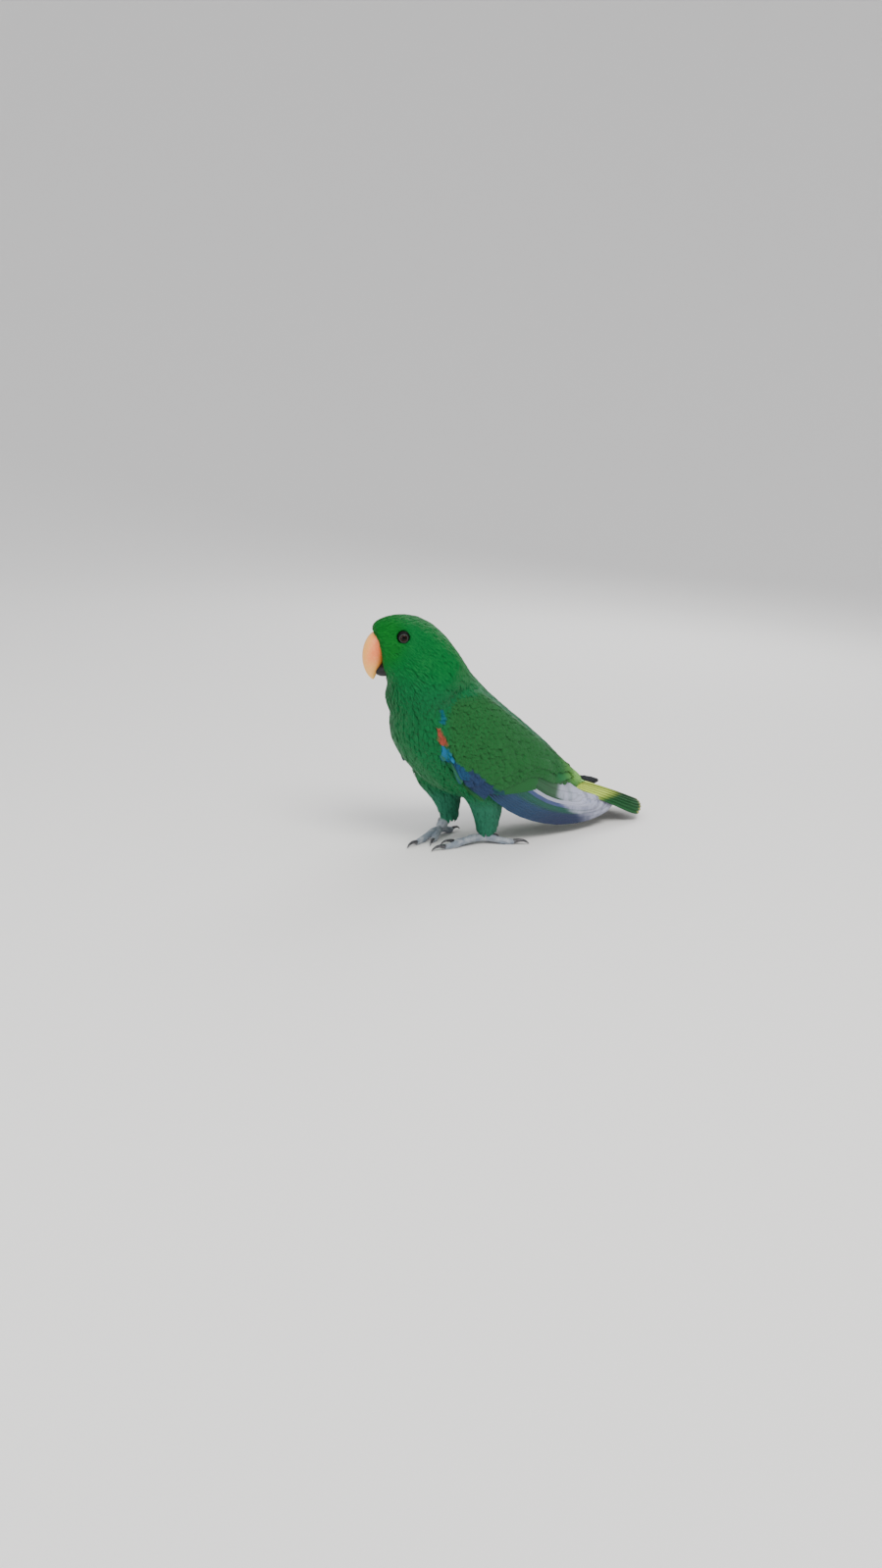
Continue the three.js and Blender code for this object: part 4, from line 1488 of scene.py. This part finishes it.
primaries, secondaries = {}, {}
for side in SIDES:
    primaries[side] = flight_row(side, "primaries", 0.05, 0.52, PRIMARIES, (12, 15), 0.5)
    secondaries[side] = flight_row(side, "secondaries", 0.54, 0.97, SECONDARIES, (16, 18), 0.75)
    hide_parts(f"flight_feathers_{side}")
    sizes = [len(row[side].data.vertices) for row in (primaries, secondaries)]
    print(side, "flight feathers:", sizes, "corners")

# %% [markdown]
# ## The rows of wing coverts
# Over the bases of the flight feathers lie the coverts in rows: greater, median, and at the front the primary
# coverts and the three small feathers of the thumb. Each row is given by where its tips run, how long its
# feathers are and how they slant.

# %% Wing coverts
COVERT_ROWS = {
    "greater_coverts": {
        "count": 17, "tips": [(-8, 54), (-24, 59), (-42, 63), (-58, 60.5), (-73, 54), (-98, 47)],
        "slants": (-34, -24), "lengths": (27, 27), "widths": (10, 11), "lifts": (0.8, 1.7), "narrow": 0.8},
    "median_coverts": {
        "count": 15, "tips": [(4, 64), (-20, 69), (-45, 72), (-68, 65), (-90, 57)],
        "slants": (-34, -26), "lengths": (20, 22), "widths": (9, 10), "lifts": (1.3, 2.1), "narrow": 0.9},
    "primary_coverts": {
        "count": 7, "tips": [(6, 46), (0, 63)],
        "slants": (-33, -38), "lengths": (26, 22), "widths": (7, 8), "lifts": (0.4, 1.2), "narrow": 0.7},
    "thumb_feathers": {
        "count": 3, "tips": [(31, 62), (28, 69)],
        "slants": (-62, -56), "lengths": (22, 19), "widths": (5.5, 6), "lifts": (0.8, 1.5), "narrow": 0.7},
}
COVERT_SUNK = 2.6
COVERT_SAG = 0.04


def covert_row(side, name, facts):
    slants, lengths, widths, lifts = (
        np.linspace(*facts[key], facts["count"]) for key in ("slants", "lengths", "widths", "lifts"))
    lines = []
    for share, slant, length in zip(np.linspace(0, 1, facts["count"]), np.radians(slants), lengths):
        tip = Vector(along_line(facts["tips"], share))
        root = tip - Vector((-math.cos(slant), math.sin(slant))) * length
        bend = root.lerp(tip, 0.5) + Vector((0, -COVERT_SAG * length))
        lines.append(wing_line(side, root, bend, tip))
    return long_piece(f"{name}_{side}", "plumage", lines, widths, lifts, facts["narrow"], SIDES[side],
                      sunk=COVERT_SUNK, camber=0.05)


coverts = [covert_row(side, name, facts) for name, facts in COVERT_ROWS.items() for side in SIDES]
print("rows of coverts:", len(coverts))

# %% [markdown]
# ## The tail
# Twelve feathers lie in a shallow arch, the middle pair on top, each outer one under its neighbour and a
# little shorter. Upper tail coverts in yellow-green, partly a painted highlight, run over their bases, and
# softer ones below.

# %% Tail
TAIL_BASE = at(0, -97, 49)
TAIL_SLOPE = (at(0, -209, 13) - TAIL_BASE).normalized()
TAIL_UP = Vector((1, 0, 0)).cross(TAIL_SLOPE)
TAIL_RADII = (14, 28)
TAIL_LENGTH = 119
TAIL_STEP = 16
TAIL_FAN = 56
ROOT_FAN_SHARE = 0.7
OUTERMOST = 0.92
TAIL_ARCH = 1.5
TAIL_FEATHERS = 12


def tail_spot(across, share, length):
    """A place over the tail's arch and the way it faces: across runs from -1 to 1, share from root to tip."""
    fan = math.radians(TAIL_FAN) * across * between(ROOT_FAN_SHARE, 1, share)
    radius = between(*TAIL_RADII, math.sqrt(max(0, share)))
    facing = TAIL_UP * math.cos(fan) + Vector((math.sin(fan), 0, 0))
    place = TAIL_BASE + TAIL_SLOPE * share * length * MM - TAIL_UP * radius * MM
    return place + facing * (radius + TAIL_ARCH * math.sin(math.pi * min(1, share))) * MM, facing


def tail_line(across, length, first=0.02, last=1.0):
    spots = [tail_spot(across, share, length) for share in np.linspace(first, last, STATIONS)]
    places, facings = zip(*spots)
    return np.array(places), np.array(facings)


def half_tail(side):
    """The tail's feathers of one side, from the outermost to the middle one."""
    count = TAIL_FEATHERS // 2
    shares = [SIDES[side] * (number + 0.5) / count * OUTERMOST for number in reversed(range(count))]
    lines = [tail_line(share, TAIL_LENGTH - TAIL_STEP * share ** 2) for share in shares]
    return long_piece(f"tail_feathers_{side}", "tail_feathers", lines, np.linspace(13, 17, count),
                      np.linspace(-0.9, 0.8, count), 0.8, SIDES[side], 0.35)


tail_feathers = [half_tail(side) for side in SIDES]
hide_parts("tail")
print("tail feathers:", [len(piece.data.vertices) for piece in tail_feathers])

# %% [markdown]
# Each tail covert is given by its place across the arch, its length and how high it lies in the stack. The
# same list serves for those below the tail.

# %% Tail coverts
TAIL_COVERTS = [
    (-0.75, 22, 0.0), (-0.4, 26, 0.3), (0.4, 26, 0.3), (0.75, 22, 0.0), (-0.2, 34, 0.7), (0.2, 34, 0.7),
    (0.0, 28, 1.1), (-0.55, 20, 0.9), (0.55, 20, 0.9),
]
COVERT_START = -9
COVERT_WIDTH = 13.0
COVERT_LIFT = 1.4
UNDER_DROP = -2.0


def tail_coverts(name, turned, drop):
    """Coverts over the tail's arch, or some mm under it where turned is -1."""
    lines = []
    for across, length, _step in TAIL_COVERTS:
        first, last = COVERT_START / TAIL_LENGTH, (COVERT_START + length) / TAIL_LENGTH
        places, facings = tail_line(across, TAIL_LENGTH, first, last)
        lines.append((places + facings * drop * MM, facings * turned))
    lifts = np.array([COVERT_LIFT + step for _across, _length, step in TAIL_COVERTS])
    return long_piece(name, "plumage", lines, np.full(len(lines), COVERT_WIDTH), lifts, 0.95, turned, 0.25)


coverts += [tail_coverts("upper_tail_coverts", 1, 0), tail_coverts("under_tail_coverts", -1, UNDER_DROP)]

# %% [markdown]
# ## Colours of the long feathers
# The folded wing shows a strip of each feather: navy on the outer primaries, a green-teal strip, then a
# violet-blue one with a pale lilac edge, and dark green further in. Towards the tips a painted lilac-grey
# reflection lies over them all. The tail is yellow-green at its base, partly a painted highlight that reaches
# further along the middle feathers, and dark green at its end, with painted shade down the sides of each
# feather; it is dark grey below.

# %% Paints of wing and tail
NAVY = paint_of(31, 45, 81)
FRONT_TEAL = paint_of(25, 63, 96)
STRIP_TEAL = paint_of(20, 84, 72)
STRIP_VIOLET = paint_of(66, 82, 128)
INNER_GREEN = paint_of(30, 78, 46)
VANE_DARK = paint_of(30, 34, 46)
# Pale lilac of the feather edges, also used for the painted reflection over the tips.
LILAC_EDGE_AND_REFLECTION = paint_of(180, 183, 205)
UNDER_GREY = paint_of(34, 38, 44)
# Yellow-green of the tail's base, made lighter as a painted highlight.
TAIL_YELLOW_AND_HIGHLIGHT = paint_of(192, 216, 88)
TAIL_DARK = paint_of(24, 78, 40)
TAIL_UNDER = paint_of(48, 52, 50)
TAIL_END = paint_of(150, 150, 84)


def long_light(paint, along, across, chance):
    """Adds the barbs, and gives how light the feather is: each a little different, and dark at the shaft."""
    barb_bump(paint, along, across, LONG_BARBS, 0.05)
    shaft = across.absolute().step(0.09, 0.03)
    return 0.94 + chance * 0.1 + shaft * -0.25


def flight_paint():
    paint = Paint("flight_feathers", 0.42, specular_ior_level=0.25)
    along, across, share, chance, above = paint.attributes("along", "across", "share", "chance", "above")
    trailing = across.step(0.1, -0.05)
    colour = paint.mix(along.step(0.6, 0.3) * 0.8, NAVY, FRONT_TEAL)
    colour = paint.mix(share.step(0.38, 0.46) * along.step(0.85, 0.65), colour, STRIP_TEAL)
    colour = paint.mix(share.step(0.66, 0.69), colour, STRIP_VIOLET)
    edge = across.step(0.5, 0.7) * share.step(0.78, 0.8) * share.step(0.9, 0.88)
    colour = paint.mix(share.step(0.87, 0.9), colour, INNER_GREEN)
    colour = paint.mix(edge, colour, LILAC_EDGE_AND_REFLECTION)
    colour = paint.mix(trailing * share.step(0.9, 0.87), colour, VANE_DARK)
    # A painted reflection: a lilac-grey sheen over the tips, flecked with noise, as the sky shows in dark
    # feathers.
    start = along + share * 0.45 - share.step(0.74, 0.92) * 0.14
    painted_reflection = start.step(0.8, 0.95) * (share.step(0.02, 0.2) * 0.45 + 0.55)
    painted_reflection = painted_reflection * (0.46 + chance * 0.22 + paint.noise(8).step(0.35, 0.6) * 0.28)
    colour = paint.mix(painted_reflection, colour, LILAC_EDGE_AND_REFLECTION)
    colour = paint.mix(above.step(0.6, 0.4), colour, UNDER_GREY)
    light = long_light(paint, along, across, chance)
    return paint.finish(paint.scaled(colour, light), 0.5 - painted_reflection * 0.12)


def tail_paint():
    paint = Paint("tail_feathers", 0.45, specular_ior_level=0.2)
    along, across, share, chance, above = paint.attributes("along", "across", "share", "chance", "above")
    # The yellow-green base is partly a painted highlight: it reaches further along the middle feathers on top
    # of the arch, and each feather's sides turn dark sooner as painted shade.
    highlight_reach = along - share * 0.22 + across.absolute() * 0.06
    colour = paint.mix(highlight_reach.step(0.43, 0.62), TAIL_YELLOW_AND_HIGHLIGHT, TAIL_DARK)
    colour = paint.mix((along + across.absolute() ** 2 * -0.03).step(0.955, 0.985), colour, TAIL_END)
    colour = paint.mix(above.step(0.6, 0.4), colour, TAIL_UNDER)
    return paint.finish(paint.scaled(colour, long_light(paint, along, across, chance)), 0.5)


flight_material, tail_material = flight_paint(), tail_paint()
for pieces, material in (
    ((*primaries.values(), *secondaries.values()), flight_material),
    (tail_feathers, tail_material),
    (coverts, contour_paint),
):
    for piece in pieces:
        wear(piece, material)

# %% [markdown]
# ## The bill
# The packed bill halves have the right outline but flat facets. A copy of each is turned back into quads and
# subdivided, which rounds it. Horn grows in fine layers, so its paint has faint rings round the bill and
# streaks along it. The upper half is coral at its base and peach at its front edge and tip.

# %% Bill
BILL_CORAL = paint_of(255, 122, 58)
BILL_PEACH = paint_of(250, 188, 88)
BILL_PALE = paint_of(252, 204, 124)
BILL_BLACK = paint_of(16, 16, 18)
BILL_SMOKE = paint_of(28, 27, 29)
LOWER_BILL_SWELL = 0.5
QUAD_ANGLE = math.radians(60)


def rounded_copy(node, name, slot):
    piece = copy_of([node], name)
    with editing(piece):
        bpy.ops.mesh.tris_convert_to_quads(face_threshold=QUAD_ANGLE, shape_threshold=QUAD_ANGLE)
    change(piece, "SUBSURF", levels=2, render_levels=2)
    finish_piece(piece, slot, node)
    return piece


def head_parts(paint):
    """How far forward and up a spot lies from between the eyes, in the head's own directions, in mm."""
    x, y, z = paint.millimetres()
    start, onward = on_head(0, 0, 0) / MM, head_turned(0, 1, 0)
    return (x - start.x) * onward.x + (y - start.y) * onward.y, z - start.z


def upper_bill_paint():
    paint = Paint("upper_bill", 0.3, coat_weight=0.25, coat_roughness=0.25, subsurface_weight=0.1)
    forward, up = head_parts(paint)
    front = (forward + up * 0.25).step(17, 27)
    low = up.step(-14, -32)
    colour = paint.mix(front * 0.85, BILL_CORAL, BILL_PEACH)
    colour = paint.mix(low * 0.9, colour, BILL_PEACH)
    streaks = paint.noise(1.2, detail=3)
    colour = paint.mix(streaks.step(0.45, 0.75) * 0.35, colour, BILL_PALE)
    rings = ((forward * 0.6 - up) * 1.5 + streaks * 3).sine() * 0.5 + 0.5
    paint.bump(rings * 0.5 + streaks, 0.06)
    return paint.finish(colour, 0.28 + streaks * 0.2)


upper_bill = rounded_copy("upper_mandible", "upper_bill", "upper_bill")
lower_bill = rounded_copy("lower_mandible", "lower_bill", "lower_bill")
swell(lower_bill, LOWER_BILL_SWELL)
wear(upper_bill, upper_bill_paint())
wear(lower_bill, streaky_paint(
    "lower_bill", (BILL_BLACK, BILL_SMOKE), 1.4, 0.08, (0.4, 0.8, 0.5), (0.35, 0.25),
    specular_ior_level=0.3, coat_weight=0.06, coat_roughness=0.3))
print("bill:", len(upper_bill.data.polygons) + len(lower_bill.data.polygons), "faces")

# %% [markdown]
# ## Eyes and lids
# An eye is a wet ball with a dark pupil and a dark orange-brown iris with fine spokes, and the clear front
# bulges a little. The lids are a thin bare ring, dark grey and finely wrinkled, that grips the ball where the
# feathers end.

# %% Eyes
EYE_RADIUS = 5.2
CORNEA = 4.4
CORNEA_BULGE = 1.05
PUPIL_RADIUS = 1.9
IRIS_RADIUS = 3.0
LID_RADIUS = 3.15
LID_THICK = 0.5
LID_SHAPE = (1, 0.94, 1.7)
IRIS_BROWN = paint_of(72, 34, 14)
IRIS_DEEP = paint_of(28, 14, 9)
EYE_BLACK = paint_of(4, 4, 4)
LID_GREY = paint_of(30, 34, 32)
LID_PALE = paint_of(58, 64, 58)


def eye_paint(side):
    paint = Paint(f"eye_{side}", 0.08, specular_ior_level=0.08, coat_weight=0.14, coat_roughness=0.02)
    x, y, z = paint.millimetres()
    centre, axis = EYES[side] / MM, eye_axis(side)
    x, y, z = x - centre.x, y - centre.y, z - centre.z
    outward = x * axis.x + y * axis.y
    aside = x * -axis.y + y * axis.x
    far = (aside * aside + z * z).root()
    spokes = paint.noise(0.7, detail=3)
    colour = paint.mix((far + spokes).step(IRIS_RADIUS - 0.4, PUPIL_RADIUS + 0.6), IRIS_DEEP, IRIS_BROWN)
    colour = paint.mix(far.step(PUPIL_RADIUS + 0.15, PUPIL_RADIUS - 0.15), colour, EYE_BLACK)
    colour = paint.mix(far.step(IRIS_RADIUS - 0.1, IRIS_RADIUS + 0.2), colour, EYE_BLACK)
    colour = paint.mix(outward.step(0.5, 0), colour, EYE_BLACK)
    return paint.finish(colour, 0.06 + spokes * 0.05)


def make_eye(side):
    deselect()
    bpy.ops.mesh.primitive_uv_sphere_add(segments=40, ring_count=24, radius=EYE_RADIUS * MM)
    eye = bpy.context.object
    eye.name = f"eyeball_{side}"
    with editing(eye):
        bpy.ops.mesh.bisect(plane_co=(0, 0, CORNEA * MM), plane_no=(0, 0, 1))
    with editing(eye, lambda place: place.z > (CORNEA - 0.1) * MM):
        bpy.ops.transform.resize(value=(1, 1, CORNEA_BULGE), center_override=(0, 0, CORNEA * MM))
    turn_to(eye, EYES[side], eye_axis(side))
    finish_piece(eye, "eye", f"eye_{side}")
    wear(eye, eye_paint(side))


def turn_to(piece, place, axis):
    """Turns a piece modelled along Z to an axis and carries it to its place, all in its mesh."""
    turn = axis.to_track_quat("Z", "Y").to_matrix().to_4x4()
    piece.data.transform(Matrix.Translation(place) @ turn)


def make_lid(side, material):
    deselect()
    bpy.ops.mesh.primitive_torus_add(
        major_radius=LID_RADIUS * MM, minor_radius=LID_THICK * MM, major_segments=48, minor_segments=10)
    lid = bpy.context.object
    lid.name = f"lid_{side}"
    with editing(lid):
        bpy.ops.transform.resize(value=LID_SHAPE, center_override=(0, 0, 0))
    turn_to(lid, LIDS[side], eye_axis(side))
    finish_piece(lid, "foot_skin")
    wear(lid, material)


lid_material = streaky_paint(
    "lid_skin", (LID_GREY, LID_PALE), 0.5, 0.1, (0.35, 0.7, 1), (0.5, 0.2), specular_ior_level=0.25)
for side in SIDES:
    make_eye(side)
    make_lid(side, lid_material)

# %% [markdown]
# ## The claws
# Each claw is a copy of its packed solid with its facets rounded. Horn is dark grey with fine streaks along
# it, the paler streaks a little rougher.

# %% Claws
CLAW_DARK = paint_of(38, 38, 42)
CLAW_PALE = paint_of(92, 92, 98)

claw_material = streaky_paint(
    "claw_horn", (CLAW_DARK, CLAW_PALE), 0.6, 0.05, (0.4, 0.75, 1), (0.25, 0.3), detail=2,
    stretch=(1, 0.35, 1), coat_weight=0.2, coat_roughness=0.2)
for side in SIDES:
    for toe in TOE_TURNS:
        wear(rounded_copy(f"claw_{toe}_{side}", f"horn_{toe}_{side}", "claw"), claw_material)

# %% [markdown]
# ## Last update
# The view layer is brought up to date once more. Feathers may stand only a little proud of the packed
# outline.

# %% Last update
bpy.context.view_layer.update()
